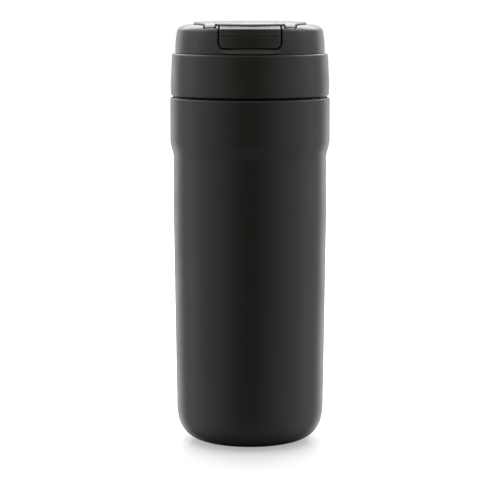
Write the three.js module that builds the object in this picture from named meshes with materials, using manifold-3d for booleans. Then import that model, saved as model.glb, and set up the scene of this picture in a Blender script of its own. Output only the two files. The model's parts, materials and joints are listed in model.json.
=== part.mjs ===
// Insulated travel mug: double-wall steel vessel, screw-in lid and sprung flip cover with a push latch.
// Millimetres, +Z up, origin at the centre of the base, latch button facing -Y.
import * as THREE from 'three';
import { mergeVertices } from 'three/addons/utils/BufferGeometryUtils.js';
import Module from 'manifold-3d';

const wasm = await Module();
wasm.setup();

// ---- Driving dimensions -------------------------------------------------------------------------
const FACETS = 36; // sides of every large turned piece
const WELD = 1e-3; // vertices closer than this are one vertex
const GAP = 0.3; // assembly gap between fixed neighbours
const BEYOND = 300; // longer than anything here, for cutting tools
const ABOVE_LID_Z = 205; // higher than anything here, for cutting tools

// Vessel
const NECK_R = 37.5; // outer radius of the neck band
const BODY_TOP_R = 35.95; // just under the step to the neck band
const SWELL_R = 36.07; // widest part of the body
const SWELL_Z = 107;
const BODY_LOW_R = 34.75; // where the base curve starts
const BASE_CURVE_H = 19; // height and width of the base's super-ellipse corner
const BASE_CURVE_W = 19;
const BASE_CURVE_N = 2.79; // its exponent
const STEP_LOW_Z = 134.5; // soft step from body to neck band
const STEP_HIGH_Z = 143;
const LIP_Z = 162.8; // top of the vessel
const LIP_SPLIT_R = 35.75; // middle of the joint between shell and liner in the lip
const SHELL_WALL = 0.6;
const BASE_SPLIT_R = 24; // weld line between side shell and base

// Liner
const LINER_WALL = 0.5;
const LINER_FLOOR_Z = 8;
const LINER_FLOOR_R = 22;
const LINER_LOW_R = 31;
const LINER_LOW_Z = 20;
const LINER_TOP_R = 32.2;
const SEAT_R = 32.9; // bore that the lid seal slides into
const SEAT_LOW_Z = 139;
const SEAT_HIGH_Z = 148.5;
const MOUTH_R = 34.2; // bore at the thread

// Two-start thread
const THREAD_STARTS = 2;
const THREAD_LEAD = 10; // rise per turn of the lid
const THREAD_TURNS = 0.75;
const THREAD_LOW_Z = 151.5;
const LINER_RIDGE_R = 1.2; // radius of the rounded ridges
const PLUG_RIDGE_R = 1.3;

// Lid
const PLUG_R = 32.4;
const PLUG_WALL = 1.6;
const PLUG_LOW_Z = 146.5;
const PLUG_TOP_Z = 180.7;
const PLUG_FLANGE_LOW_Z = 164.8; // flange that carries the collar
const PLUG_FLANGE_HIGH_Z = 166.4;
const PLUG_DISC_LOW_Z = 143.4; // disc that closes the plug
const PLUG_DISC_TOP_Z = 145.6;
const SPIGOT_LOW_Z = 181.2; // the housing's spigot inside the collar
const SPIGOT_R = 31.4; // its bore
const COLLAR_LOW_Z = 163.7;
const COLLAR_TOP_Z = 183.4;
const COLLAR_BORE_R = 35.3;
const COLLAR_LEDGE_R = 33.2; // inner edge of its top, round the housing's spigot
const HOUSING_LOW_Z = 183.45;
const HOUSING_R = 34.95;
const HOUSING_WALL = 1.9;
const THUMB_LIP_X = 12.5; // half width of the lip under the button
const THUMB_LIP_R = 36.2;
const THUMB_LIP_H = 2.4;
const SHOULDER_R = 34.2; // where the rounded shoulder of the housing starts
const SHOULDER_Z = 193.2;
const SHOULDER_W = 6;
const SHOULDER_H = 3.5;
const DECK_Z = 197.0;
const TRAY_TOP_Z = 190;
const TRAY_T = 1.6;
const TRAY_EDGE_R = 32.3;
const SKIRT_LOW_Z = 176; // skirt of the tray inside the plug
const SKIRT_R = 29.4;
const SKIRT_BORE_R = 28;
const GASKET_LOW_Z = 177.3; // gasket in the groove of the skirt
const GASKET_HIGH_Z = 178.7;

// Flip cover, hinge and latch
const COVER_TOP_Z = 198.3;
const COVER_T = 1.5;
const COVER_GAP = 0.5; // all round, between the cover and its opening in the housing
const COVER_EDGE_R = 32.6; // the cover's front arms end on this circle
const COVER_FRONT_X = 20.8; // half width at the front and at the middle
const COVER_MIDDLE_X = 26.4;
const COVER_WAIST_X = 24.6; // half width between those, and the same again towards the hinge
const NOTCH_X = 15.6; // half width of the notch that clears the latch button
const NOTCH_Y = -31.0; // its rear edge bows forward to here
const NOTCH_BOW = 23.5; // radius of that edge
const HINGE_Y = 22.5;
const HINGE_Z = 193.7;
const KNUCKLE_R = 3.1;
const KNUCKLE_IN_X = 9;
const KNUCKLE_OUT_X = 16.5;
const PIN_R = 1;
const COVER_SPRING_R = 1.55; // to the middle of its wire
const COVER_SPRING_WIRE_R = 0.3;
const COVER_SPRING_TURNS = 5;
const COVER_SPRING_LEAD = 3;
const SPRING_LEG_X = (-COVER_SPRING_TURNS * COVER_SPRING_LEAD) / 2; // its leg runs from this end to the tray
const BUTTON_X = 13.8; // half width of the button's face
const BUTTON_LOW_Z = 186.2;
const BUTTON_CREASE_Z = 191.6;
const BUTTON_EDGE_Z = 195.4; // front edge of its sloping top
const BUTTON_TOP_Z = 196.4;
const BUTTON_GAP = 0.6;
const BUTTON_TRAVEL = 1;
const WINDOW_BACK_Y = -26; // the window for the button is cut from here forwards
const SPRING_X = 9.5; // the two latch springs stand this far off centre
const SPRING_FRONT_Y = -28.2; // their seats on the button
const SPRING_WALL_Y = -23.4; // and on the fixed wall behind them
const SPRING_SEAT_HALF = 2.2; // half width of a seat
const POCKET_LOW_Z = 180; // room under the button for its springs and hook
const HOOK_X = 4.4; // half width of the latch arm and its hook
const HOOK_FRONT_Y = -25.8;
const HOOK_BACK_Y = -24.9;
const HOOK_TOP_Z = 192.6;
const CATCH_X = 5; // half width of the cover's catch
const CATCH_FRONT_Y = -28.4;
const CATCH_LOW_Z = 190.3;
const SIP_Y = -16;
const SIP_X = 6.2; // half widths of the drinking hole
const SIP_HALF_Y = 3.2;
const VENT_Y = 3;
const VENT_R = 1.5;
const SPOUT_X = 8; // half widths of the rim round the drinking hole
const SPOUT_HALF_Y = 4.8;
const SPOUT_TOP_Z = 192.4;
const STOPPER_TOP_Z = 194.1; // just under the cover's lower plate

const FINISHES = {
  powderCoat: { color: 0x2b2b29, roughness: 0.55, metalness: 0.2 },
  blackPlastic: { color: 0x2d2d2b, roughness: 0.5, metalness: 0.0 },
  innerPlastic: { color: 0x3a3a39, roughness: 0.55, metalness: 0.0 },
  steel: { color: 0xb8babc, roughness: 0.35, metalness: 1.0 },
  springSteel: { color: 0x9c9ea1, roughness: 0.3, metalness: 1.0 },
  silicone: { color: 0x8f908e, roughness: 0.7, metalness: 0.0 },
  rubber: { color: 0x1c1c1c, roughness: 0.85, metalness: 0.0 },
  getter: { color: 0x77797c, roughness: 0.6, metalness: 0.8 },
};

// ---- Solids -------------------------------------------------------------------------------------
function signedVolume(points, triangles) {
  const [a, b, c] = [new THREE.Vector3(), new THREE.Vector3(), new THREE.Vector3()];
  let volume = 0;
  for (let i = 0; i < triangles.length; i += 3) {
    a.fromArray(points, 3 * triangles[i]);
    b.fromArray(points, 3 * triangles[i + 1]);
    c.fromArray(points, 3 * triangles[i + 2]);
    volume += a.dot(b.cross(c)) / 6;
  }
  return volume;
}

// A closed three.js geometry as a solid with its faces pointing out.
function toSolid(geometry) {
  geometry.deleteAttribute('normal');
  geometry.deleteAttribute('uv');
  const merged = mergeVertices(geometry, WELD);
  const points = merged.getAttribute('position').array;
  const index = merged.getIndex().array;
  const triangles = [];
  for (let i = 0; i < index.length; i += 3) {
    const [a, b, c] = [index[i], index[i + 1], index[i + 2]];
    if (a !== b && b !== c && c !== a) triangles.push(a, b, c);
  }
  if (signedVolume(points, triangles) < 0) triangles.reverse();
  const triVerts = new Uint32Array(triangles);
  return new wasm.Manifold(new wasm.Mesh({ numProp: 3, vertProperties: points, triVerts }));
}

function toGeometry(solid) {
  const mesh = solid.getMesh();
  const geometry = new THREE.BufferGeometry();
  geometry.setAttribute('position', new THREE.BufferAttribute(mesh.vertProperties, 3));
  geometry.setIndex(new THREE.BufferAttribute(mesh.triVerts, 1));
  geometry.computeVertexNormals();
  return geometry;
}

// A profile of [radius, z] points turned about Z; it starts and ends on the axis.
function turned(profile, sides = FACETS) {
  const points = profile.map(([radius, z]) => new THREE.Vector2(radius, z));
  return toSolid(new THREE.LatheGeometry(points, sides).rotateX(Math.PI / 2));
}

// A ring: the profile closes on itself away from the axis.
function turnedRing(profile, sides = FACETS) {
  return turned([...profile, profile[0]], sides);
}

// A flat shape in X and Y, standing from z = low to z = high.
function upright(shape, low, high) {
  const geometry = new THREE.ExtrudeGeometry(shape, {
    depth: high - low, bevelEnabled: false, curveSegments: 6,
  });
  return toSolid(geometry.translate(0, 0, low));
}

function block([x0, x1], [y0, y1], [z0, z1]) {
  const box = new THREE.BoxGeometry(x1 - x0, y1 - y0, z1 - z0);
  return toSolid(box.translate((x0 + x1) / 2, (y0 + y1) / 2, (z0 + z1) / 2));
}

// A round bar along X, centred on the hinge line.
function hingeBar(radius, fromX, toX, sides = 16) {
  const bar = new THREE.CylinderGeometry(radius, radius, toX - fromX, sides);
  bar.rotateZ(Math.PI / 2).translate((fromX + toX) / 2, HINGE_Y, HINGE_Z);
  return toSolid(bar);
}

function ellipse(y, halfX, halfY) {
  return new THREE.Shape().absellipse(0, y, halfX, halfY, 0, 2 * Math.PI);
}

// ---- Curves -------------------------------------------------------------------------------------
class Helix extends THREE.Curve {
  constructor(radius, lead, turns, phase = 0) {
    super();
    Object.assign(this, { radius, lead, turns, phase });
  }

  getPoint(t, target = new THREE.Vector3()) {
    const angle = this.phase + 2 * Math.PI * this.turns * t;
    return target.set(
      this.radius * Math.cos(angle), this.radius * Math.sin(angle), this.lead * this.turns * t,
    );
  }
}

// Round wire along a helix that starts at z = 0.
function coil(helix, wireRadius, stepsPerTurn, wireSides) {
  const section = new THREE.Shape().absarc(0, 0, wireRadius, 0, 2 * Math.PI);
  return new THREE.ExtrudeGeometry(section, {
    extrudePath: helix, steps: Math.ceil(stepsPerTurn * helix.turns), curveSegments: wireSides,
  });
}

// The rounded ridges of the two-start thread.
function threadRidges(radius, ridgeRadius, phase) {
  const ridges = [];
  for (let start = 0; start < THREAD_STARTS; start += 1) {
    const startPhase = phase + (2 * Math.PI * start) / THREAD_STARTS;
    const helix = new Helix(radius, THREAD_LEAD, THREAD_TURNS, startPhase);
    ridges.push(toSolid(coil(helix, ridgeRadius, 20, 3).translate(0, 0, THREAD_LOW_Z)));
  }
  return ridges;
}

function steps(count, from, to) {
  return Array.from({ length: count + 1 }, (_, i) => from + ((to - from) * i) / count);
}

// ---- Vessel -------------------------------------------------------------------------------------
// Height of the outside of the base's rounded corner at a radius.
function baseCurveZ(radius) {
  const across = Math.max(0, (radius - BODY_LOW_R + BASE_CURVE_W) / BASE_CURVE_W);
  return BASE_CURVE_H * (1 - (1 - across ** BASE_CURVE_N) ** (1 / BASE_CURVE_N));
}

function stepRadius(z) {
  const t = (z - STEP_LOW_Z) / (STEP_HIGH_Z - STEP_LOW_Z);
  return BODY_TOP_R + (NECK_R - BODY_TOP_R) * t * t * (3 - 2 * t);
}

// A profile moved towards the axis and upwards, square to itself.
function inset(profile, distance) {
  return profile.map(([radius, z], i) => {
    const [beforeR, beforeZ] = profile[Math.max(i - 1, 0)];
    const [afterR, afterZ] = profile[Math.min(i + 1, profile.length - 1)];
    const along = new THREE.Vector2(afterR - beforeR, afterZ - beforeZ).normalize();
    return [radius - along.y * distance, z + along.x * distance];
  });
}

function makeOuterShell() {
  const base = [BASE_SPLIT_R, 27.5, 30.5, 32.5, 33.8, 34.5].map((r) => [r, baseCurveZ(r)]);
  const wall = [[BODY_LOW_R, BASE_CURVE_H], [SWELL_R, SWELL_Z]];
  const step = steps(5, STEP_LOW_Z, STEP_HIGH_Z).map((z) => [stepRadius(z), z]);
  const outside = [...base, ...wall, ...step, [NECK_R, LIP_Z - 3]];
  const lip = [
    [NECK_R, LIP_Z - 1.1],
    [NECK_R - 0.3, LIP_Z - 0.4],
    [NECK_R - 0.9, LIP_Z],
    [LIP_SPLIT_R + GAP / 2, LIP_Z - 0.2],
    [LIP_SPLIT_R + GAP / 2, LIP_Z - 1.5],
  ];
  return turnedRing([...outside, ...lip, ...inset(outside, SHELL_WALL).reverse()]);
}

function makeInnerLiner() {
  const wall = LINER_WALL;
  const liner = turned([
    [0, LINER_FLOOR_Z - wall],
    [LINER_FLOOR_R, LINER_FLOOR_Z - wall],
    [28.3, 10.5],
    [LINER_LOW_R + wall, LINER_LOW_Z],
    [LINER_TOP_R + wall, STEP_LOW_Z],
    [SEAT_R + wall, SEAT_LOW_Z],
    [SEAT_R + wall, SEAT_HIGH_Z],
    [MOUTH_R + wall, SEAT_HIGH_Z + 1.7],
    [MOUTH_R + wall, LIP_Z - 2.1],
    [LIP_SPLIT_R - GAP / 2, LIP_Z - 1.1],
    [LIP_SPLIT_R - GAP / 2, LIP_Z - 0.2],
    [34.8, LIP_Z - 0.4],
    [MOUTH_R, LIP_Z - 1.7],
    [MOUTH_R, SEAT_HIGH_Z + 1.9],
    [SEAT_R, SEAT_HIGH_Z],
    [SEAT_R, SEAT_LOW_Z],
    [LINER_TOP_R, STEP_LOW_Z],
    [LINER_LOW_R, LINER_LOW_Z],
    [27.9, 10.9],
    [LINER_FLOOR_R, LINER_FLOOR_Z],
    [0, LINER_FLOOR_Z],
  ]);
  return threadRidges(MOUTH_R, LINER_RIDGE_R, 0).reduce((sum, ridge) => sum.add(ridge), liner);
}

const PAD_R = 19;
const PAD_T = 1.3;
const SEAL_HOLE_R = 2.2;

function makeOuterBase() {
  const edge = BASE_SPLIT_R - GAP;
  return turnedRing([
    [SEAL_HOLE_R, PAD_T + GAP],
    [PAD_R + GAP, PAD_T + GAP],
    [PAD_R + GAP, 0.35],
    [edge, baseCurveZ(edge)],
    [edge, 2.9],
    [SEAL_HOLE_R, 2.9],
  ]);
}

function makeFootPad() {
  return turned([[0, 0], [PAD_R - 0.5, 0], [PAD_R, 0.4], [PAD_R, PAD_T], [0, PAD_T]]);
}

function makeVacuumSeal() {
  return turned([[0, 1.7], [1.9, 1.7], [1.9, 3.0], [1.2, 3.6], [0, 3.8]], 12);
}

function makeGetterPad() {
  const top = LINER_FLOOR_Z - LINER_WALL - GAP;
  return turned([[0, top - 1.5], [6, top - 1.5], [6.5, top - 1.1], [6.5, top], [0, top]], 20);
}

// ---- Lid body -----------------------------------------------------------------------------------
function makeLidCollar() {
  return turnedRing([
    [COLLAR_BORE_R, LIP_Z + GAP],
    [36.3, LIP_Z + GAP],
    [36.4, COLLAR_LOW_Z],
    [36.9, COLLAR_LOW_Z + 0.2],
    [37.2, COLLAR_LOW_Z + 0.9],
    [37.2, 166.5],
    [36.95, 173.5],
    [36.55, 180.5],
    [36.45, 181.9],
    [36.1, 182.8],
    [35.5, 183.25],
    [34.9, COLLAR_TOP_Z],
    [COLLAR_LEDGE_R, COLLAR_TOP_Z],
    [COLLAR_LEDGE_R, COLLAR_TOP_Z - 1.6],
    [34.8, COLLAR_TOP_Z - 2.2],
    [COLLAR_BORE_R, 179.5],
  ]);
}

function makeScrewPlug() {
  const bore = PLUG_R - PLUG_WALL;
  const plug = turnedRing([
    [bore, PLUG_LOW_Z],
    [PLUG_R - 0.6, PLUG_LOW_Z],
    [PLUG_R, PLUG_LOW_Z + 0.8],
    [PLUG_R, PLUG_FLANGE_LOW_Z - 0.6],
    [COLLAR_BORE_R - GAP, PLUG_FLANGE_LOW_Z],
    [COLLAR_BORE_R - GAP, PLUG_FLANGE_HIGH_Z],
    [PLUG_R, PLUG_FLANGE_HIGH_Z + 0.6],
    [PLUG_R, PLUG_TOP_Z],
    [bore, PLUG_TOP_Z],
  ]);
  const ridges = threadRidges(PLUG_R, PLUG_RIDGE_R, -Math.PI / 2);
  return ridges.reduce((sum, ridge) => sum.add(ridge), plug);
}

function makePlugBottom() {
  const rim = PLUG_R - 0.5;
  const low = PLUG_DISC_LOW_Z;
  const plugBore = PLUG_R - PLUG_WALL - GAP;
  const disc = turned([
    [0, low],
    [rim - 0.6, low],
    [rim, low + 0.4],
    [rim, low + 0.8],
    [30.1, low + 0.8],
    [30.1, PLUG_DISC_TOP_Z + 0.3],
    [rim, PLUG_DISC_TOP_Z + 0.3],
    [rim, PLUG_LOW_Z - GAP],
    [plugBore, PLUG_LOW_Z - 0.2],
    [plugBore, PLUG_LOW_Z + 1.1],
    [plugBore - 1.9, PLUG_LOW_Z + 1.1],
    [plugBore - 1.9, PLUG_DISC_TOP_Z],
    [0, PLUG_DISC_TOP_Z],
  ]);
  const port = upright(ellipse(SIP_Y, 5, 3), 0, ABOVE_LID_Z);
  const ventPort = upright(ellipse(VENT_Y, VENT_R, VENT_R), 0, ABOVE_LID_Z);
  return disc.subtract(port).subtract(ventPort);
}

// Two lips, a little clear of the bore that they slide into.
function makeLidSealRing() {
  const low = PLUG_DISC_LOW_Z + 1.1;
  return turnedRing([
    [30.4, low],
    [31.6, low],
    [SEAT_R - GAP, low + 0.3],
    [31.9, low + 0.6],
    [SEAT_R - GAP, low + 1.0],
    [30.4, low + 1.1],
  ]);
}

function makeDrinkChannel() {
  const outside = upright(ellipse(SIP_Y, 7.4, 4.8), PLUG_DISC_TOP_Z + GAP, TRAY_TOP_Z - TRAY_T - GAP);
  return outside.subtract(upright(ellipse(SIP_Y, SIP_X, 3.6), 0, ABOVE_LID_Z));
}

// ---- Top housing --------------------------------------------------------------------------------
// Quarter ellipse from the top of the wall to the flat of the deck.
function shoulder(drop, count) {
  return steps(count, 0, Math.PI / 2).map((angle) => [
    SHOULDER_R - SHOULDER_W - drop + SHOULDER_W * Math.cos(angle),
    SHOULDER_Z - drop + SHOULDER_H * Math.sin(angle),
  ]);
}

// Plan outline of the flip cover, grown outwards by a margin.
function coverOutline(margin) {
  const onEdge = (x) => -Math.sqrt(COVER_EDGE_R ** 2 - x ** 2);
  const bowDepth = (x) => NOTCH_BOW - Math.sqrt(NOTCH_BOW ** 2 - x ** 2);
  const notch = steps(4, -NOTCH_X, NOTCH_X).map((x) => [x, NOTCH_Y + bowDepth(x)]);
  const side = new THREE.SplineCurve([
    new THREE.Vector2(COVER_FRONT_X, -21.4),
    new THREE.Vector2(COVER_WAIST_X, -11),
    new THREE.Vector2(COVER_MIDDLE_X, 1),
    new THREE.Vector2(COVER_WAIST_X, 12.5),
    new THREE.Vector2(KNUCKLE_OUT_X, 18.6),
  ]).getPoints(9).map(({ x, y }) => [x, y]);
  const arm = [[NOTCH_X + 0.5, onEdge(NOTCH_X + 0.5)], [COVER_FRONT_X - 0.2, onEdge(COVER_FRONT_X)]];
  const right = [...arm, ...side, [KNUCKLE_OUT_X, HINGE_Y]];
  const left = right.map(([x, y]) => [-x, y]).reverse();
  const corners = [...notch, ...right, ...left].map(([x, y]) => new THREE.Vector2(x, y));
  return corners.map((corner, i) => {
    const before = corners[(i + corners.length - 1) % corners.length];
    const after = corners[(i + 1) % corners.length];
    const along = corner.clone().sub(before).normalize();
    const onwards = after.clone().sub(corner).normalize();
    const out = new THREE.Vector2(along.y + onwards.y, -along.x - onwards.x).normalize();
    const mitre = out.x * along.y - out.y * along.x;
    return corner.clone().addScaledVector(out, margin / Math.max(mitre, 0.5));
  });
}

function makeTopHousing() {
  const wall = HOUSING_WALL;
  const body = turned([
    [0, DECK_Z],
    ...shoulder(0, 5).reverse(),
    [34.6, 190.5],
    [HOUSING_R, 185.5],
    [HOUSING_R, HOUSING_LOW_Z],
    [COLLAR_LEDGE_R - GAP, HOUSING_LOW_Z],
    [COLLAR_LEDGE_R - GAP, SPIGOT_LOW_Z],
    [SPIGOT_R, SPIGOT_LOW_Z],
    [SPIGOT_R, HOUSING_LOW_Z + 1.15],
    [HOUSING_R - wall, HOUSING_LOW_Z + 2.55],
    [SHOULDER_R - wall, SHOULDER_Z - wall],
    [SHOULDER_R - wall - SHOULDER_W + 2, DECK_Z - wall],
    [0, DECK_Z - wall],
  ]);
  const opening = upright(new THREE.Shape(coverOutline(COVER_GAP)), TRAY_TOP_Z, ABOVE_LID_Z);
  const bayX = KNUCKLE_OUT_X + 0.5;
  const hingeBay = block([-bayX, bayX], [HINGE_Y - 3, HINGE_Y + 6], [TRAY_TOP_Z, ABOVE_LID_Z]);
  const half = BUTTON_X + BUTTON_GAP;
  const bottom = BUTTON_LOW_Z - BUTTON_GAP;
  const corner = 3;
  const window = new THREE.Shape()
    .moveTo(-half, ABOVE_LID_Z)
    .lineTo(-half, bottom + corner)
    .absarc(-half + corner, bottom + corner, corner, Math.PI, 1.5 * Math.PI)
    .absarc(half - corner, bottom + corner, corner, 1.5 * Math.PI, 2 * Math.PI)
    .lineTo(half, ABOVE_LID_Z);
  const slot = new THREE.ExtrudeGeometry(window, { depth: 12, bevelEnabled: false, curveSegments: 5 });
  slot.rotateX(Math.PI / 2).translate(0, WINDOW_BACK_Y, 0);
  const lipRing = turnedRing([
    [HOUSING_R - 1, HOUSING_LOW_Z],
    [THUMB_LIP_R - 0.1, HOUSING_LOW_Z],
    [THUMB_LIP_R, HOUSING_LOW_Z + 0.5],
    [HOUSING_R, HOUSING_LOW_Z + THUMB_LIP_H],
    [HOUSING_R - 1, HOUSING_LOW_Z + THUMB_LIP_H],
  ]);
  const thumbLip = lipRing.intersect(block([-THUMB_LIP_X, THUMB_LIP_X], [-BEYOND, 0], [0, BEYOND]));
  const earSpans = [[-bayX - 2.7, -bayX], [bayX, bayX + 2.7]];
  const ears = earSpans.map((span) => block(span, [HINGE_Y - 2.9, HINGE_Y + 2.9], [190.6, 195.6]));
  const pinHole = hingeBar(PIN_R + GAP, -BEYOND / 2, BEYOND / 2, 12);
  return body
    .subtract(opening).subtract(hingeBay).subtract(toSolid(slot))
    .add(thumbLip).add(ears[0]).add(ears[1])
    .subtract(pinHole.intersect(block([-22, 22], [HINGE_Y - 5, HINGE_Y + 5], [TRAY_TOP_Z, ABOVE_LID_Z])));
}

function makeDrinkWell() {
  const low = TRAY_TOP_Z - TRAY_T;
  const grooveR = SKIRT_R - 0.7;
  const tray = turned([
    [0, low],
    [SKIRT_BORE_R, low],
    [SKIRT_BORE_R, SKIRT_LOW_Z],
    [SKIRT_R, SKIRT_LOW_Z],
    [SKIRT_R, GASKET_LOW_Z - GAP],
    [grooveR, GASKET_LOW_Z - GAP],
    [grooveR, GASKET_HIGH_Z + GAP],
    [grooveR + 1.6, GASKET_HIGH_Z + GAP],
    [grooveR + 1.6, low],
    [TRAY_EDGE_R, low],
    [TRAY_EDGE_R, TRAY_TOP_Z],
    [0, TRAY_TOP_Z],
  ]);
  const pocketZ = [POCKET_LOW_Z, ABOVE_LID_Z];
  const pocket = block([-17, 17], [-BEYOND, SPRING_WALL_Y], pocketZ);
  const hookPocket = block([-6.5, 6.5], [-BEYOND, SPRING_WALL_Y + 0.6], pocketZ);
  const wallY = [SPRING_WALL_Y, SPRING_WALL_Y + 1.2];
  const wallZ = [184, HOOK_TOP_Z];
  const wallLeft = block([-16.5, -6.5], wallY, wallZ);
  const wallRight = block([6.5, 16.5], wallY, wallZ);
  const spout = upright(ellipse(SIP_Y, SPOUT_X, SPOUT_HALF_Y), low + 0.2, SPOUT_TOP_Z);
  const ventRim = upright(ellipse(VENT_Y, 3.6, 3.6), low + 0.2, SPOUT_TOP_Z - 1);
  return tray
    .add(spout).add(ventRim).add(wallLeft).add(wallRight)
    .subtract(pocket).subtract(hookPocket)
    .subtract(upright(ellipse(SIP_Y, SIP_X, SIP_HALF_Y), 0, ABOVE_LID_Z))
    .subtract(upright(ellipse(VENT_Y, VENT_R, VENT_R), 0, ABOVE_LID_Z));
}

function makeDeckGasket() {
  const innerR = SKIRT_R - 0.4;
  return turnedRing([
    [innerR, GASKET_LOW_Z],
    [innerR + 1.2, GASKET_LOW_Z],
    [innerR + 1.5, (GASKET_LOW_Z + GASKET_HIGH_Z) / 2],
    [innerR + 1.2, GASKET_HIGH_Z],
    [innerR, GASKET_HIGH_Z],
  ]);
}

// ---- Flip cover ---------------------------------------------------------------------------------
// Points of the cover's crowned top, from the axis outwards, lowered by a drop.
function crown(drop) {
  const falls = [[0, 0], [14, 0.05], [22, 0.2], [26.5, 0.5], [29, 1.0], [31, 1.8], [33.6, 3.4]];
  return falls.map(([radius, fall]) => [radius, COVER_TOP_Z - fall - drop]);
}

function crownedPlate(drop, thickness) {
  return turned([...crown(drop), ...crown(drop + thickness).reverse()]);
}

function makeFlipCover() {
  const outline = upright(new THREE.Shape(coverOutline(0)), TRAY_TOP_Z, ABOVE_LID_Z);
  const behindHinge = block([-BEYOND, BEYOND], [HINGE_Y, BEYOND], [TRAY_TOP_Z, ABOVE_LID_Z]);
  const plate = crownedPlate(0, COVER_T).intersect(outline).subtract(behindHinge);
  const knuckles = [
    hingeBar(KNUCKLE_R, -KNUCKLE_OUT_X, -KNUCKLE_IN_X),
    hingeBar(KNUCKLE_R, KNUCKLE_IN_X, KNUCKLE_OUT_X),
  ];
  const barrel = hingeBar(KNUCKLE_R, -KNUCKLE_IN_X - 0.1, KNUCKLE_IN_X + 0.1)
    .subtract(block([-KNUCKLE_IN_X, KNUCKLE_IN_X], [0, HINGE_Y], [0, HINGE_Z]))
    .subtract(block([SPRING_LEG_X - 0.8, SPRING_LEG_X + 0.8], [0, BEYOND], [0, HINGE_Z]));
  const springBay = hingeBar(COVER_SPRING_R + COVER_SPRING_WIRE_R + 0.35, -KNUCKLE_IN_X, KNUCKLE_IN_X);
  const pinHole = hingeBar(PIN_R + GAP, -BEYOND / 2, BEYOND / 2, 12);
  return plate
    .add(knuckles[0]).add(knuckles[1]).add(barrel)
    .subtract(springBay).subtract(pinHole);
}

function makeCoverUnderplate() {
  const outline = upright(new THREE.Shape(coverOutline(-1.6)), TRAY_TOP_Z, ABOVE_LID_Z);
  const clearY = HINGE_Y - KNUCKLE_R - 0.6;
  const hingeClear = block([-BEYOND, BEYOND], [clearY, BEYOND], [TRAY_TOP_Z, ABOVE_LID_Z]);
  const top = crown(COVER_T + GAP);
  const plate = turned([...top, [33.6, 193.2], [30, 194.2], [0, 194.6]]);
  const catchX = [-CATCH_X, CATCH_X];
  const catchLeg = block(catchX, [CATCH_FRONT_Y, CATCH_FRONT_Y + 1.2], [CATCH_LOW_Z, 195]);
  const catchFoot = block(catchX, [CATCH_FRONT_Y + 1.1, CATCH_FRONT_Y + 2], [CATCH_LOW_Z, CATCH_LOW_Z + 0.9]);
  return plate.intersect(outline).subtract(hingeClear).add(catchLeg).add(catchFoot);
}

function makeSipStopper() {
  const pad = upright(ellipse(SIP_Y, SPOUT_X, SPOUT_HALF_Y), SPOUT_TOP_Z + 0.4, STOPPER_TOP_Z);
  const nose = ellipse(SIP_Y, SIP_X - 0.6, SIP_HALF_Y - 0.6);
  return pad.add(upright(nose, SPOUT_TOP_Z - 1.6, SPOUT_TOP_Z + 0.6));
}

function makeVentStopper() {
  const low = SPOUT_TOP_Z - 0.7;
  const pad = [[0, low], [2.2, low], [3.2, low + 0.6], [3.2, STOPPER_TOP_Z], [0, STOPPER_TOP_Z]];
  return turned(pad, 16).translate(0, VENT_Y, 0);
}

function makeHingePin() {
  return hingeBar(PIN_R, -KNUCKLE_OUT_X - 2.9, KNUCKLE_OUT_X + 2.9, 12);
}

function makeCoverSpring() {
  const helix = new Helix(COVER_SPRING_R, COVER_SPRING_LEAD, COVER_SPRING_TURNS);
  const spring = coil(helix, COVER_SPRING_WIRE_R, 8, 3);
  spring.rotateY(Math.PI / 2).translate(SPRING_LEG_X, HINGE_Y, HINGE_Z);
  const legOut = 5;
  const legDrop = HINGE_Z - COVER_SPRING_R - COVER_SPRING_WIRE_R - 0.15 - TRAY_TOP_Z;
  const leg = new THREE.CylinderGeometry(
    COVER_SPRING_WIRE_R, COVER_SPRING_WIRE_R, Math.hypot(legOut, legDrop), 8,
  );
  leg.rotateX(Math.atan2(legDrop, legOut));
  leg.translate(SPRING_LEG_X, HINGE_Y - legOut / 2, HINGE_Z - COVER_SPRING_R - legDrop / 2);
  return toSolid(spring).add(toSolid(leg));
}

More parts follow.
